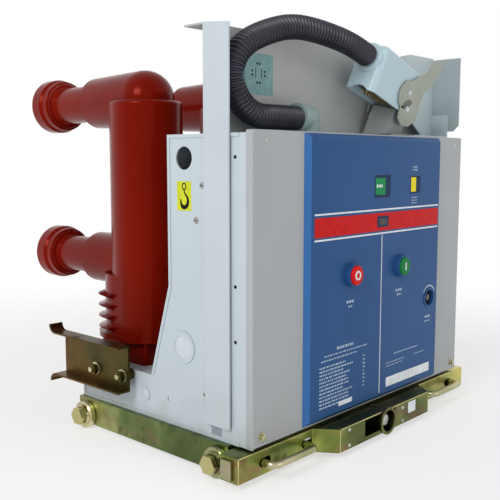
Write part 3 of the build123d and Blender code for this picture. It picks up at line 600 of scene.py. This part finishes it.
# %% Banner and lines
def film(target, x0, x1, z0, z1, lift=0.0, depth=0.3, face=PANEL):
    """A thin film on an upright face, between places in millimetres."""
    low = Vector((x0 * MM, face - (lift + depth) * MM, z0 * MM))
    high = Vector((x1 * MM, face - lift * MM, z1 * MM))
    return target.box(low, high)


BANNER_X = (-167.5, 196)
film(Fitting(), *BANNER_X, 340, 369.5).done("banner", "banner")
lines = film(Fitting(), *BANNER_X, 373.2, 375.8)
film(lines, *BANNER_X, 334.6, 337.2)
film(lines, 12.7, 14.3, 66, 333)
lines.done("panel_lines", "white")

# %% [markdown]
# ## Fine print
#
# From where the camera stands, fine print is only rows of broken dashes. Text objects would put
# words on the part, so each row is a run of short films of uneven width. A seed of its own keeps
# every row the same at each run.


# %% Fine print
def dashes(target, x0, x1, z0, rows, pitch, height, seed, fill=0.9, lift=0.0):
    """Rows of short dashes from x0 towards x1, the look of fine print from far away."""
    source = random.Random(seed)
    for row in range(rows):
        x = x0
        end = x0 + (x1 - x0) * source.uniform(fill - 0.25, 1.0)
        while x < end:
            width = source.uniform(2.4, 7.5)
            z = z0 - row * pitch
            film(target, x, min(x + width, end), z, z + height, lift=lift, depth=0.12)
            x += width + source.uniform(1.5, 2.6)
    return target


LIST_ROWS = (
    (-108, -44, 163, 1, 6, 4.2, 1), (-140, -22, 156, 1, 6, 1.8, 2), (-148, -18, 149, 1, 6, 2.0, 3),
    (-152, -60, 139, 12, 5.7, 2.4, 4), (-36, -30, 139, 9, 6.2, 2.0, 15, 1.2),
)
NOTE_ROWS = (
    (58, 150, 125, 1, 6, 1.8, 5), (34, 96, 112, 2, 5.2, 1.4, 6), (126, 168, 112, 1, 5.2, 1.4, 16),
)
CAPTION_ROWS = (
    (107, 125, 442, 2, 5, 2.6, 7), (104, 129, 390, 3, 4.6, 1.6, 8), (-84, -60, 232, 1, 6, 4.0, 9),
    (-79, -65, 225, 1, 6, 2.6, 10), (59, 83, 233, 1, 6, 4.0, 11), (63, 80, 226, 1, 6, 2.6, 12),
    (160, 184, 172, 1, 6, 4.0, 13), (158, 186, 165, 1, 6, 1.8, 14),
)
print_rows = Fitting()
for row in LIST_ROWS + NOTE_ROWS + CAPTION_ROWS:
    dashes(print_rows, *row)
print_rows.done("panel_print", "faint")
film(Fitting(), 34, 178, 72, 88).done("panel_strip_sign", "white")
film(Fitting(), -102, -66, 71, 78).done("rating_strip", "white")

# %% [markdown]
# ## Indicator windows
#
# Behind the windows sit a green flag, a yellow flag and a small counter. Each window could be
# cut open, but the CAD glass already fills it. So a dark blue film covers the glass to its frame,
# painted shade of the window's hollow, and the flag lies in front of it, a few tenths of a
# millimetre apart, which is enough to keep the two from flickering through each other.

# %% Indicator windows
WINDOW_SHADES = (
    (12.7, 412.5, 46.0, 36.0, -0.38), (115.5, 413.0, 33.0, 29.0, -0.38),
    (14.8, 355.0, 33.0, 18.0, 0.3),
)
# A dark blue film behind each window's glass: painted shade of its hollow.
window_hollow_shades = Fitting()
for x, z, wide, high, lift in WINDOW_SHADES:
    film(window_hollow_shades, x - wide / 2, x + wide / 2, z - high / 2, z + high / 2, lift=lift)
window_hollow_shades.done("window_hollow_shades", "hollow_shade")
film(Fitting(), -8.0, 21.0, 399.0, 426.0, lift=-0.1).done("closed_window", "leaf")
film(Fitting(), 101.5, 117.5, 401.0, 425.5, lift=-0.1).done("charged_window", "yellow")
film(Fitting(), 3, 26, 349.5, 360.5, lift=0.6).done("counter_window", "black")
dashes(Fitting(), -5, 19, 411, 1, 6, 4.5, 21, lift=0.2).done("window_marks", "white")

# %% [markdown]
# ## Marks on the buttons
#
# The buttons carry the plain marks of every switch: a ring for off and a bar for on. They could
# be text, but a font's letter has many thin faces. A spun ring and a box are cleaner, and each
# rides on its own button, so the mark moves in when the button is pressed.

# %% Marks on the buttons
BUTTON_X, BUTTON_Z, BUTTON_FACE = 71, 276, -20
BAR_RISE, BAR_HALF_WIDTH, BAR_HALF_HEIGHT = 0.5, 1.6, 6.5
o_mark = Fitting().ring(spot(-BUTTON_X, BUTTON_FACE, BUTTON_Z), (0, -1, 0), 6.0, 1.5)
o_mark.done("off_mark", "white", "off_button")
i_mark = Fitting().box(
    spot(BUTTON_X - BAR_HALF_WIDTH, BUTTON_FACE - BAR_RISE, BUTTON_Z - BAR_HALF_HEIGHT),
    spot(BUTTON_X + BAR_HALF_WIDTH, BUTTON_FACE, BUTTON_Z + BAR_HALF_HEIGHT),
    0.2,
)
i_mark.done("on_mark", "white", "on_button")

# %% [markdown]
# ## Charging hole
#
# A crank goes in here to wind the spring by hand. The hole is in the CAD model. Its bottom, dark
# with painted shade, and the hexagon end of the shaft are two discs, and the arrow over it is a
# band: one short edge spun through a third of a turn, which is quicker and rounder than a list of
# points.

# %% Charging hole
HOLE_X, HOLE_Z = 172, 208
FORWARD = (0, -1, 0)
# The dark disc at the bottom of the hole is painted shade; the hexagon is the end of the shaft.
Fitting().drum(spot(HOLE_X, -1.6, HOLE_Z), FORWARD, 14.3, 0.8).done("charging_hole_shade", "dark")
Fitting().drum(spot(HOLE_X, -1.0, HOLE_Z), FORWARD, 6, 5, 6).done("charging_shaft", "shaft")

# %% Arrow over the hole
ARROW_INNER, ARROW_OUTER, ARROW_START, ARROW_TURN = 21.0, 22.6, 150, 120
arrow = Fitting()
start = math.radians(ARROW_START)
ends = [
    arrow.mesh.verts.new(spot(HOLE_X + r * math.cos(start), -8.2, HOLE_Z + r * math.sin(start)))
    for r in (ARROW_INNER, ARROW_OUTER)
]
bmesh.ops.spin(
    arrow.mesh, geom=[*ends, arrow.mesh.edges.new(ends)], cent=spot(HOLE_X, 0, HOLE_Z),
    axis=(0, 1, 0), angle=math.radians(ARROW_TURN), steps=24,
)
arrow.done("charging_arrow", "white")

# %% [markdown]
# ## Bolts and rivets of the cover
#
# Hexagon bolts hold the cover's lower corners and rivets its upper ones. Each head could be one
# node of the CAD model, but such small fasteners are dress. A hexagon is a cone operator with
# six sides and no taper, and a small bevel on every edge catches the light as real edges do.


# %% Bolts and rivets of the cover
def hexagon(target, place, normal, across, height):
    """A hexagon head on its washer."""
    target.drum(place, normal, across * 0.75, height * 0.3, bevel=height * 0.06)
    target.drum(place, normal, across / 2 / 0.866, height, 6, bevel=height * 0.12)


cover_bolts = Fitting()
for x in (-275, 278):
    hexagon(cover_bolts, spot(x, 0, 66), FORWARD, 9, 5)
cover_bolts.done("cover_bolts", "zinc")
cover_rivets = Fitting()
for x in (-267, 267):
    cover_rivets.drum(spot(x, 0, 481), FORWARD, 3, 0.8, 24, bevel=0.3)
cover_rivets.done("cover_rivets", "steel")

# %% [markdown]
# ## Screws and holes of the side plates
#
# Each side plate has three pan heads and three small round holes beside the strip. The holes
# could be cut, but at this size a flat dark disc of painted shade reads the same and costs
# nothing. The same dark disc with six sides is the painted shade of the socket in a screw's head.


# %% Screws and holes of the side plates
def screw(heads, sockets, place, outward, radius, height):
    """A pan head on its flange, with a dark hexagon disc as painted shade of its socket."""
    heads.drum(place, outward, radius * 1.5, height * 0.25, bevel=height * 0.08)
    heads.drum(place, outward, radius, height, tip=radius * 0.82, bevel=height * 0.15)
    top = place + Vector(outward) * (height - 0.1) * MM
    # The dark hexagon on the head is painted shade for the socket.
    sockets.drum(top, outward, radius / 2, 0.2, 6)


SCREW_PLACES = ((99.3, 419), (112, 368), (95, 112))
DOT_PLACES = ((34, 459), (34, 279), (34, 200))
side_screws = Fitting()
hole_shades = Fitting()
for side in SIDES:
    outward = (side, 0, 0)
    for behind, z in SCREW_PLACES:
        screw(side_screws, hole_shades, spot(side * SIDE, behind, z), outward, 3.4, 2.4)
    for behind, z in DOT_PLACES:
        # Dark discs on the plate: painted shade inside the holes.
        hole_shades.drum(spot(side * SIDE, behind, z), outward, 2.6, 0.3, 20)
side_screws.done("side_screws", "steel")
hole_shades.done("side_hole_shades", "dark")

# %% [markdown]
# ## Tabs and caps
#
# A gray tab sits at the foot of each strip, and white plastic caps plug two holes of each side
# plate. They could be cut and filled in one mesh, but the CAD model already has a shallow recess
# for each cap, so a disc with a small bevel seats in it.

# %% Tabs and caps
TAB_LOW, TAB_HIGH, TAB_PROUD = (61, 56), (83, 68.5), 0.8
CAP_PLACES = ((141.7, 175.2, 19.5), (231.7, 85.2, 7.0))
tabs = Fitting()
caps = Fitting()
for side in SIDES:
    tabs.box(spot(side * (SIDE - TAB_PROUD), *TAB_LOW), spot(side * SIDE, *TAB_HIGH))
    for behind, z, radius in CAP_PLACES:
        caps.drum(spot(side * SIDE, behind, z), (side, 0, 0), radius, 1.2, 48, bevel=0.5)
tabs.done("strip_tabs", "tab")
caps.done("side_caps", "caps")

# %% [markdown]
# ## Lifting signs
#
# A yellow film with a hook shows where the sling goes. The hook's line swells and thins like a
# brush stroke. A filled outline would need many points, so the stroke is a curve whose points
# carry their half width, with a round bevel, made a mesh and pressed flat onto the film.

# %% Brush stroke
HOOK_STEM = [
    (0, 16, 1.1), (0.3, 11, 1.2), (5, 6.5, 1.6), (9, 1, 2.4), (7, -8, 3.0), (0, -11.5, 3.2),
    (-6.5, -8, 2.8), (-7.5, 1.5, 0.9),
]
EYE_CENTRE, EYE_HALF_WIDTH, EYE_HALF_HEIGHT = 20, 4.0, 4.6
HOOK_EYE = [
    (
        EYE_HALF_WIDTH * math.sin(math.pi * i / 6),
        EYE_CENTRE + EYE_HALF_HEIGHT * math.cos(math.pi * i / 6), 1.1,
    )
    for i in range(14)
]


def smooth_spline(curve, points, widths=None):
    """A smooth open spline of a curve, with the points as its control points."""
    spline = curve.splines.new("NURBS")
    spline.points.add(len(points) - 1)
    for index, (point, place) in enumerate(zip(spline.points, points)):
        point.co = (*place, 1.0)
        point.radius = widths[index] if widths else 1.0
    spline.order_u = 3
    spline.use_endpoint_u = True


def stroke(target, points, pressed):
    """A painted line of across, up and half width, pressed flat by a matrix."""
    curve = bpy.data.curves.new("stroke", "CURVE")
    curve.dimensions = "3D"
    curve.bevel_depth = 1.0
    curve.bevel_resolution = 3
    curve.use_fill_caps = True
    smooth_spline(curve, [(across, up, 0) for across, up, half in points], [p[2] for p in points])
    drawn = bpy.data.objects.new("stroke", curve)
    flat = bpy.data.meshes.new_from_object(drawn)
    flat.transform(pressed)
    target.mesh.from_mesh(flat)
    bpy.data.objects.remove(drawn)


print("Hook of", len(HOOK_STEM), "points and eye of", len(HOOK_EYE))

# %% Lifting signs
SIGN_LOW, SIGN_HIGH, SIGN_FILM = (122, 381), (152, 424), 0.3
HOOK_PLACE = (137, 396.5)
STROKE_FLATNESS = 0.05
sign = Fitting()
hook = Fitting()
for side in SIDES:
    sign.box(spot(side * SIDE, *SIGN_LOW), spot(side * (SIDE + SIGN_FILM), *SIGN_HIGH))
    centre = spot(side * (SIDE + SIGN_FILM), *HOOK_PLACE)
    pressed = Matrix.Translation(centre) @ Matrix((
        (0, 0, side * STROKE_FLATNESS * MM, 0), (side * MM, 0, 0, 0), (0, MM, 0, 0),
        (0, 0, 0, 1),
    ))
    stroke(hook, HOOK_STEM, pressed)
    stroke(hook, HOOK_EYE, pressed)
sign.done("lifting_signs", "lime_sign")
hook.done("lifting_hooks", "dark")

# %% [markdown]
# ## Sign on the board
#
# The board carries a pale teal film with a few dark marks. They say nothing here: four pairs of
# small squares stand round the middle with two bars between them, laid out by turning one pair.

# %% Sign on the board
BOARD_LEVEL = 87.7
BOARD = FRONT + BOARD_LEVEL * MM
MARK_X, MARK_Z, MARK_REACH, MARK_HALF, MARK_OFFSET = -184, 584, 14, 1.6, 3.0
board_sign = Fitting().box(spot(-218, BOARD_LEVEL, 552), spot(-151, BOARD_LEVEL + 0.3, 613))
board_sign.done("board_sign", "teal")
sign_marks = Fitting()
for quarter in range(4):
    a = math.pi / 2 * quarter
    for offset in (-MARK_OFFSET, MARK_OFFSET):
        x = MARK_X + MARK_REACH * math.cos(a) - offset * math.sin(a)
        z = MARK_Z + MARK_REACH * math.sin(a) + offset * math.cos(a)
        edges = (x - MARK_HALF, x + MARK_HALF, z - MARK_HALF, z + MARK_HALF)
        film(sign_marks, *edges, depth=0.15, face=BOARD)
for bar in ((-191, -189.6), (-178.4, -177)):
    film(sign_marks, *bar, 577, 591, depth=0.15, face=BOARD)
sign_marks.done("board_sign_marks", "dark")

# %% [markdown]
# ## The control hose: its line
#
# The hose is a free cord of fixed length between the gland and the plug's hood. Its line could
# be arcs and straights, but that looks like bent wire. A NURBS spline through the same control
# points as the CAD tube bends as smoothly as a real hose, and Blender gives its points.

# %% Hose line
HOSE_ROUTE = [
    (-126.0, -217.5, 519.0),
    (-172.0, -217.5, 519.0),
    (-224.0, -217.5, 518.0),
    (-262.0, -217.5, 543.0),
    (-274.0, -218.5, 582.0),
    (-252.0, -219.5, 616.0),
    (-206.0, -222.5, 638.0),
    (-150.0, -228.5, 654.0),
    (-92.0, -239.5, 650.0),
]
HOOD_YAW, HOOD_TILT, HOOD_ROLL = 4, 16, 13
HOOD = (
    Matrix.Translation(mm(8.0, -267.5, 566.0))
    @ Matrix.Rotation(math.radians(HOOD_YAW), 4, "Z")
    @ Matrix.Rotation(math.radians(HOOD_TILT), 4, "Y")
    @ Matrix.Rotation(math.radians(HOOD_ROLL), 4, "X")
)
ENTRY_DEPTH, ENTRY_HEIGHT = 29, 53
for distance in (52.0, 6.0):
    HOSE_ROUTE.append(tuple((HOOD @ mm(-distance, ENTRY_DEPTH, ENTRY_HEIGHT)) / MM))

curve = bpy.data.curves.new("hose_line", "CURVE")
curve.dimensions = "3D"
curve.resolution_u = 24
smooth_spline(curve, [mm(*place) for place in HOSE_ROUTE])
line_object = bpy.data.objects.new("hose_line", curve)
bpy.context.scene.collection.objects.link(line_object)
line_mesh = bpy.data.meshes.new_from_object(line_object)
line = [vert.co.copy() for vert in line_mesh.vertices]
bpy.data.objects.remove(line_object)
print("Hose line read at", len(line), "points")


# %% Even steps along the line
def along(points, step):
    """Places, directions and distances along a line at even steps, and its length."""
    lengths = [0.0]
    for here, there in zip(points, points[1:]):
        lengths.append(lengths[-1] + (there - here).length)
    total = lengths[-1]
    count = max(2, round(total / step))
    found = []
    index = 0
    for i in range(count + 1):
        target = total * i / count
        while index < len(lengths) - 2 and lengths[index + 1] < target:
            index += 1
        span = lengths[index + 1] - lengths[index]
        share = (target - lengths[index]) / span if span else 0.0
        place = points[index].lerp(points[index + 1], share)
        before = points[max(index - 1, 0)]
        after = points[min(index + 2, len(points) - 1)]
        found.append((place, (after - before).normalized(), target))
    return found, total


RIB_PITCH = 6.2 * MM
steps, hose_length = along(line, RIB_PITCH / 10)
print("Hose length:", round(hose_length, 4), "m in", len(steps), "steps")

# %% [markdown]
# ## The control hose: its corrugated skin
#
# Conduit is blown into a mould as rings, not as a screw thread. A bump would give ribs that are
# flat in outline, so they are real: rings of points stand across the line at even steps, their
# radius swings between crest and groove, and quads join each ring to the next. The rings' frame
# is carried along, so the skin doesn't twist.

# %% Corrugated skin
HOSE_R = 18.4 * MM
RIB_DEPTH = 3.2 * MM
CREST_SHARPNESS = 0.6


def rib_radius(run):
    """The skin's radius at a distance along the hose: broad crests and grooves."""
    wave = math.cos(2 * math.pi * run / RIB_PITCH)
    return HOSE_R - RIB_DEPTH * (0.5 - 0.5 * math.copysign(abs(wave) ** CREST_SHARPNESS, wave))


skin = Fitting()
side_way = Vector((0, 1, 0))
around = [2 * math.pi * i / 36 for i in range(36)]
rings = []
for place, way, run in steps:
    side_way = (side_way - way * side_way.dot(way)).normalized()
    up_way = way.cross(side_way)
    radius = rib_radius(run)
    rings.append([
        skin.mesh.verts.new(place + radius * (side_way * math.cos(a) + up_way * math.sin(a)))
        for a in around
    ])
for near, far in zip(rings, rings[1:]):
    for j in range(36):
        k = (j + 1) % 36
        skin.mesh.faces.new((near[j], near[k], far[k], far[j]))
skin.mesh.faces.new(rings[0])
skin.mesh.faces.new(list(reversed(rings[-1])))
hose = skin.done("hose_skin", "conduit", slot="hose_black", smooth=80.0)
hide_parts("control_hose")
mm(*HOSE_ROUTE[0])

# %% [markdown]
# ## Collar of the plug
#
# A collar clamps the hose where it enters the hood. The hood is tilted, so the plug's parts are
# measured in its own axes and one matrix takes them to their place, as a jig would.

# %% Collar of the plug
TURN = HOOD.to_3x3()
ACROSS = (TURN @ Vector((0, -1, 0))).normalized()
ALONG = (TURN @ Vector((-1, 0, 0))).normalized()
collar = Fitting()
collar_place = HOOD @ mm(1, ENTRY_DEPTH, ENTRY_HEIGHT)
collar.drum(collar_place, ALONG, 25.5, 6, 48, tip=23.0, bevel=1.6)
collar.done("plug_collar", "hood", slot="hood_gray")

# %% [markdown]
# ## The plug's lever
#
# The lever's cheek is pressed sheet with round lobes at its pivot and its link, riveted on, and
# a short slot. The lobes could be part of the cheek's outline, but separate discs keep the CAD
# cheek plain and give the edge a small bevel. All of them ride on the lever and swing with it.

# %% Lobes, rivets and slot of the lever
LOBES = ((98.5, 29.0, 24.5), (115.5, 2.5, 23.0))
RIVETS = ((104.0, 35.0, 4.2), (114.5, 9.0, 5.2))
LOBE_FACE, LOBE_SHEET, RIVET_FACE = -1.05, 2.55, -3.5
lobes = Fitting()
for run, height, radius in LOBES:
    lobes.drum(HOOD @ mm(run, LOBE_FACE, height), ACROSS, radius, LOBE_SHEET, 64, bevel=0.3)
lobes.done("lever_lobes", "lever", "lever")
lever_rivets = Fitting()
for run, height, radius in RIVETS:
    place = HOOD @ mm(run, RIVET_FACE, height)
    lever_rivets.drum(place, ACROSS, radius, 1.6, tip=radius * 0.8, bevel=0.3)
lever_rivets.done("lever_rivets", "caps", "lever")
# The short slot is a dark film on the cheek: painted shade for the opening.
slot_shade = Fitting().box(mm(93.5, -3.75, 5.5), mm(100.5, -3.6, 9.0))
bmesh.ops.transform(slot_shade.mesh, matrix=HOOD, verts=slot_shade.mesh.verts)
slot_shade.done("lever_slot_shade", "dark", "lever")

# %% [markdown]
# ## Pins of the plug
#
# Rows of brass pins stick out of the insert on the plug's underside. An array would do, but two
# loops round one cylinder put each pin on its grid, and all of them stay one piece.

# %% Pins of the plug
PIN_COLUMNS, PIN_ROWS, PIN_PITCH = 8, 3, 9
PIN_MIDDLE, PIN_ROOT, PIN_RADIUS, PIN_LENGTH = 60, 12, 1.6, 10.2
DOWN = TURN @ Vector((0, 0, -1))
plug_pins = Fitting()
for column in range(PIN_COLUMNS):
    for row in range(PIN_ROWS):
        run = PIN_MIDDLE + (column - (PIN_COLUMNS - 1) / 2) * PIN_PITCH
        depth = ENTRY_DEPTH + (row - (PIN_ROWS - 1) / 2) * PIN_PITCH
        plug_pins.drum(HOOD @ mm(run, depth, PIN_ROOT), DOWN, PIN_RADIUS, PIN_LENGTH, 12)
plug_pins.done("plug_pins", "brass")

# %% [markdown]
# ## Tulip contacts
#
# Each bell holds a ring of contact fingers that close round the fixed stud, pressed inwards by
# coil springs. One finger is a profile on the drawing, turned a few degrees about the axis of
# the bell. An array modifier could repeat it, but spin with duplicates does it in one line and
# leaves real gaps between the fingers.

# %% Finger profile
FINGERS = 24
FINGER_SHARE = 0.42
FINGER_PROFILE = [
    (24.6, -48.0), (24.6, -3.0), (26.5, 0.0), (32.0, 0.0), (34.5, -3.0), (34.5, -10.0),
    (32.0, -12.0), (32.0, -20.0), (34.5, -22.0), (34.5, -48.0),
]
TIP = 596
BACKWARD = (0, 1, 0)


def finger_ring(x, z):
    """Fingers round the axis of one bell, made from one finger's profile."""
    fingers = Fitting()
    step = 2 * math.pi / FINGERS
    half = step * FINGER_SHARE
    outline = [
        fingers.mesh.verts.new(
            spot(x - radius * math.sin(half), TIP + depth, z + radius * math.cos(half))
        )
        for radius, depth in FINGER_PROFILE
    ]
    face = fingers.mesh.faces.new(outline)
    axis = {"cent": spot(x, TIP, z), "axis": BACKWARD}
    flat = [*outline, *face.edges, face]
    bmesh.ops.spin(fingers.mesh, geom=flat, angle=2 * half, steps=1, **axis)
    whole = [*fingers.mesh.verts, *fingers.mesh.edges, *fingers.mesh.faces]
    bmesh.ops.spin(
        fingers.mesh, geom=whole, angle=step * (FINGERS - 1), steps=FINGERS - 1,
        use_duplicate=True, **axis,
    )
    return fingers


print("A finger's profile has", len(FINGER_PROFILE), "points and a ring has", FINGERS, "fingers")

# %% Contacts in their bells
POLES = (("left", -210), ("middle", 0), ("right", 210))
LEVELS = (("upper", 555), ("lower", 280))
for level, z in LEVELS:
    for place, x in POLES:
        piece = finger_ring(x, z).done(
            f"contact_fingers_{level}_{place}", "silver", slot="contact_metal", smooth=30.0
        )
        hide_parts(f"contact_{level}_{place}")
        springs = Fitting().drum(spot(x, TIP - 50.5, z), BACKWARD, 40.6, 4, 48)
        for depth in (-16, -30):
            springs.ring(spot(x, TIP + depth, z), BACKWARD, 34.0, 1.6)
        springs.done(f"contact_springs_{level}_{place}", "steel")
        rim = Fitting().ring(spot(x, TIP - 6.5, z), BACKWARD, 43.4, 1.2)
        rim.done(f"bell_rim_{level}_{place}", "steel")

# %% [markdown]
# ## Rivets and label of the beam
#
# Rivets show in the face of the beam's middle box, and a blank label sits beside them. A rivet's
# head is a short cone, which needs no list of points. They ride on the beam, because they travel
# with it when the breaker is racked.

# %% Rivets and label of the beam
BOX_FACE = -34
RIVET_PLACES = ((-108, 41), (-108, 16), (48, 38), (48, 16))
rivets = Fitting()
for x, z in RIVET_PLACES:
    rivets.drum(spot(x, BOX_FACE, z), FORWARD, 3, 1.6, 24, tip=1.8)
rivets.done("beam_rivets", "steel", "beam")
label = Fitting().box(spot(65, BOX_FACE - 0.3, 24), spot(89, BOX_FACE, 43))
label.done("beam_label", "white", "beam")

# %% [markdown]
# ## Painted highlights on the beam's edges
#
# The light catches the beam's top edge and its folds in bright lines, and here they are painted.
# An edge mask in the shader would depend on how finely the mesh is cut, so thin strips of bright
# metal lie along the beam's top edge and its folds instead, as painted highlights.

# %% Painted highlights on the beam's edges
BEAM_TOP, BEAM_FOOT = 46.6, 10.4
TOP_EDGES = ((-324, -157, 0), (157, 324, 0), (-133, 133, BOX_FACE))
FOLDS = ((-323.4, 0), (-157.6, 0), (-132.4, BOX_FACE), (131.6, BOX_FACE), (321.8, 0))
# Thin strips of bright metal: painted highlights along the top edges and the folds.
edges = Fitting()
for x0, x1, behind in TOP_EDGES:
    film(edges, x0, x1, BEAM_TOP - 0.9, BEAM_TOP + 0.5, depth=0.25, face=FRONT + behind * MM)
for x, behind in FOLDS:
    film(edges, x - 0.6, x + 1.4, BEAM_FOOT, BEAM_TOP, depth=0.25, face=FRONT + behind * MM)
edges.done("beam_edge_highlights", "edge", "beam")

# %% [markdown]
# ## Washers and studs of the shutter brackets
#
# Each bracket hangs on two bolts. The nuts are in the CAD model. A washer under each nut and the
# end of the stud beyond it are two discs each.

# %% Washers and studs of the shutter brackets
NUT_PLACES = ((337.0, 110.5), (267.0, 111.0))
BRACKET_FACE, NUT_FACE = 310, 318
washers = Fitting()
studs = Fitting()
for side in SIDES:
    for behind, z in NUT_PLACES:
        outward = (side, 0, 0)
        washers.drum(spot(side * BRACKET_FACE, behind, z), outward, 11, 1.5, 40, bevel=0.3)
        studs.drum(spot(side * NUT_FACE, behind, z), outward, 4.5, 5, 24, bevel=0.8)
washers.done("bracket_washers", "zinc")
studs.done("bracket_studs", "zinc")

# %% [markdown]
# ## Studio floor
#
# The photograph has a white ground. A floor that glows would lose the shadow, and a matt floor
# is never quite white. So the floor near the breaker is mostly glow with some matt white that
# takes the shadow, and further out it glows like the backdrop.

# %% Studio floor
GLOW_NEAR, GLOW_FROM, GLOW_FULL = 0.6, 0.5, 1.6
bpy.ops.mesh.primitive_plane_add(size=40, location=(0, 0, 0))
floor = bpy.context.active_object
floor.name = "studio_floor"
graph = Graph("studio_floor")
reach = graph.node("ShaderNodeVectorMath", {"operation": "LENGTH"}, graph.place, output="Value")
share = reach.between(GLOW_FROM, GLOW_FULL) * (1 - GLOW_NEAR) + GLOW_NEAR
matt = graph.node("ShaderNodeBsdfDiffuse", {}, {"Color": (0.92, 0.92, 0.92)})
glow = graph.node("ShaderNodeEmission", {}, {"Color": (1.0, 1.0, 1.0), "Strength": 1.0})
sweep = graph.node("ShaderNodeMixShader", {}, share, matt, glow)
graph.node("ShaderNodeOutputMaterial", {}, sweep)
floor.data.materials.append(graph.material)
print("Floor glows from", GLOW_NEAR, "near the breaker to 1 at", GLOW_FULL, "m")

# %% [markdown]
# ## Backdrop
#
# A white world lights everything alike and flattens the shapes. The Light Path node tells what
# kind of ray asks: the camera, reflections and clear parts see white, and everything else gets a
# weaker light. Reflections dim towards the zenith, as under a soft box, so curved parts shade.

# %% Backdrop
AMBIENT = 0.55
ZENITH_LOSS = 0.7
graph = Graph("studio", bpy.data.worlds)
bpy.context.scene.world = graph.material
seen = 0.0
for ray in ("Is Camera Ray", "Is Glossy Ray", "Is Transmission Ray"):
    seen = graph.node("ShaderNodeLightPath", {}, output=ray) + seen
way = graph.node("ShaderNodeTexCoord", {}, output="Generated")
sky = graph.node("ShaderNodeSeparateXYZ", {}, way, output="Z").between(0.3, 0.8)
strength = AMBIENT + seen.between(0.0, 1.0) * (1.0 - AMBIENT) * (1.0 - sky * ZENITH_LOSS)
white = graph.node("ShaderNodeBackground", {}, {"Color": (1.0, 1.0, 1.0), "Strength": strength})
graph.node("ShaderNodeOutputWorld", {}, white)
print("World light:", AMBIENT)

# %% [markdown]
# ## Lamps
#
# One large soft box from the left models the poles and the folds, and a weak one from the front
# opens the shadows. Small lamps would give hard edges that the photograph doesn't have.


# %% Lamps
def soft_box(name, place, target, size, power):
    """A square area lamp that looks at the target."""
    data = bpy.data.lights.new(name, "AREA")
    data.energy = power
    data.size = size
    lamp = bpy.data.objects.new(name, data)
    lamp.location = place
    lamp.rotation_euler = (Vector(target) - Vector(place)).to_track_quat("-Z", "Y").to_euler()
    bpy.context.scene.collection.objects.link(lamp)
    print(name, "lamp:", power, "W")


BREAKER_MIDDLE = (0, 0, 0.3)
soft_box("key", (-2.8, -0.6, 2.0), BREAKER_MIDDLE, 1.2, 48)
soft_box("fill", (0.6, -3.0, 1.6), BREAKER_MIDDLE, 2.0, 10)

# %% [markdown]
# ## Camera
#
# The camera stands where the photograph was taken from. Its place, turn and lens were worked out
# from known lengths on the breaker, so edges that meet in the photograph meet in the render too.

# %% Camera
CAMERA_PLACE = (-1.0598, -0.9736, 0.4545)
YAW, PITCH = math.radians(47.62), math.radians(6.66)
camera_data = bpy.data.cameras.new("camera")
camera_data.sensor_width = 36.0
camera_data.lens = 55.34
camera = bpy.data.objects.new("camera", camera_data)
bpy.context.scene.collection.objects.link(camera)
bpy.context.scene.camera = camera
level = math.cos(PITCH)
forward = Vector((math.sin(YAW) * level, math.cos(YAW) * level, -math.sin(PITCH)))
camera.location = CAMERA_PLACE
camera.rotation_euler = forward.to_track_quat("-Z", "Y").to_euler()
bpy.context.scene.view_settings.view_transform = "Standard"
print("Camera at", CAMERA_PLACE, "with a lens of", camera_data.lens, "mm")
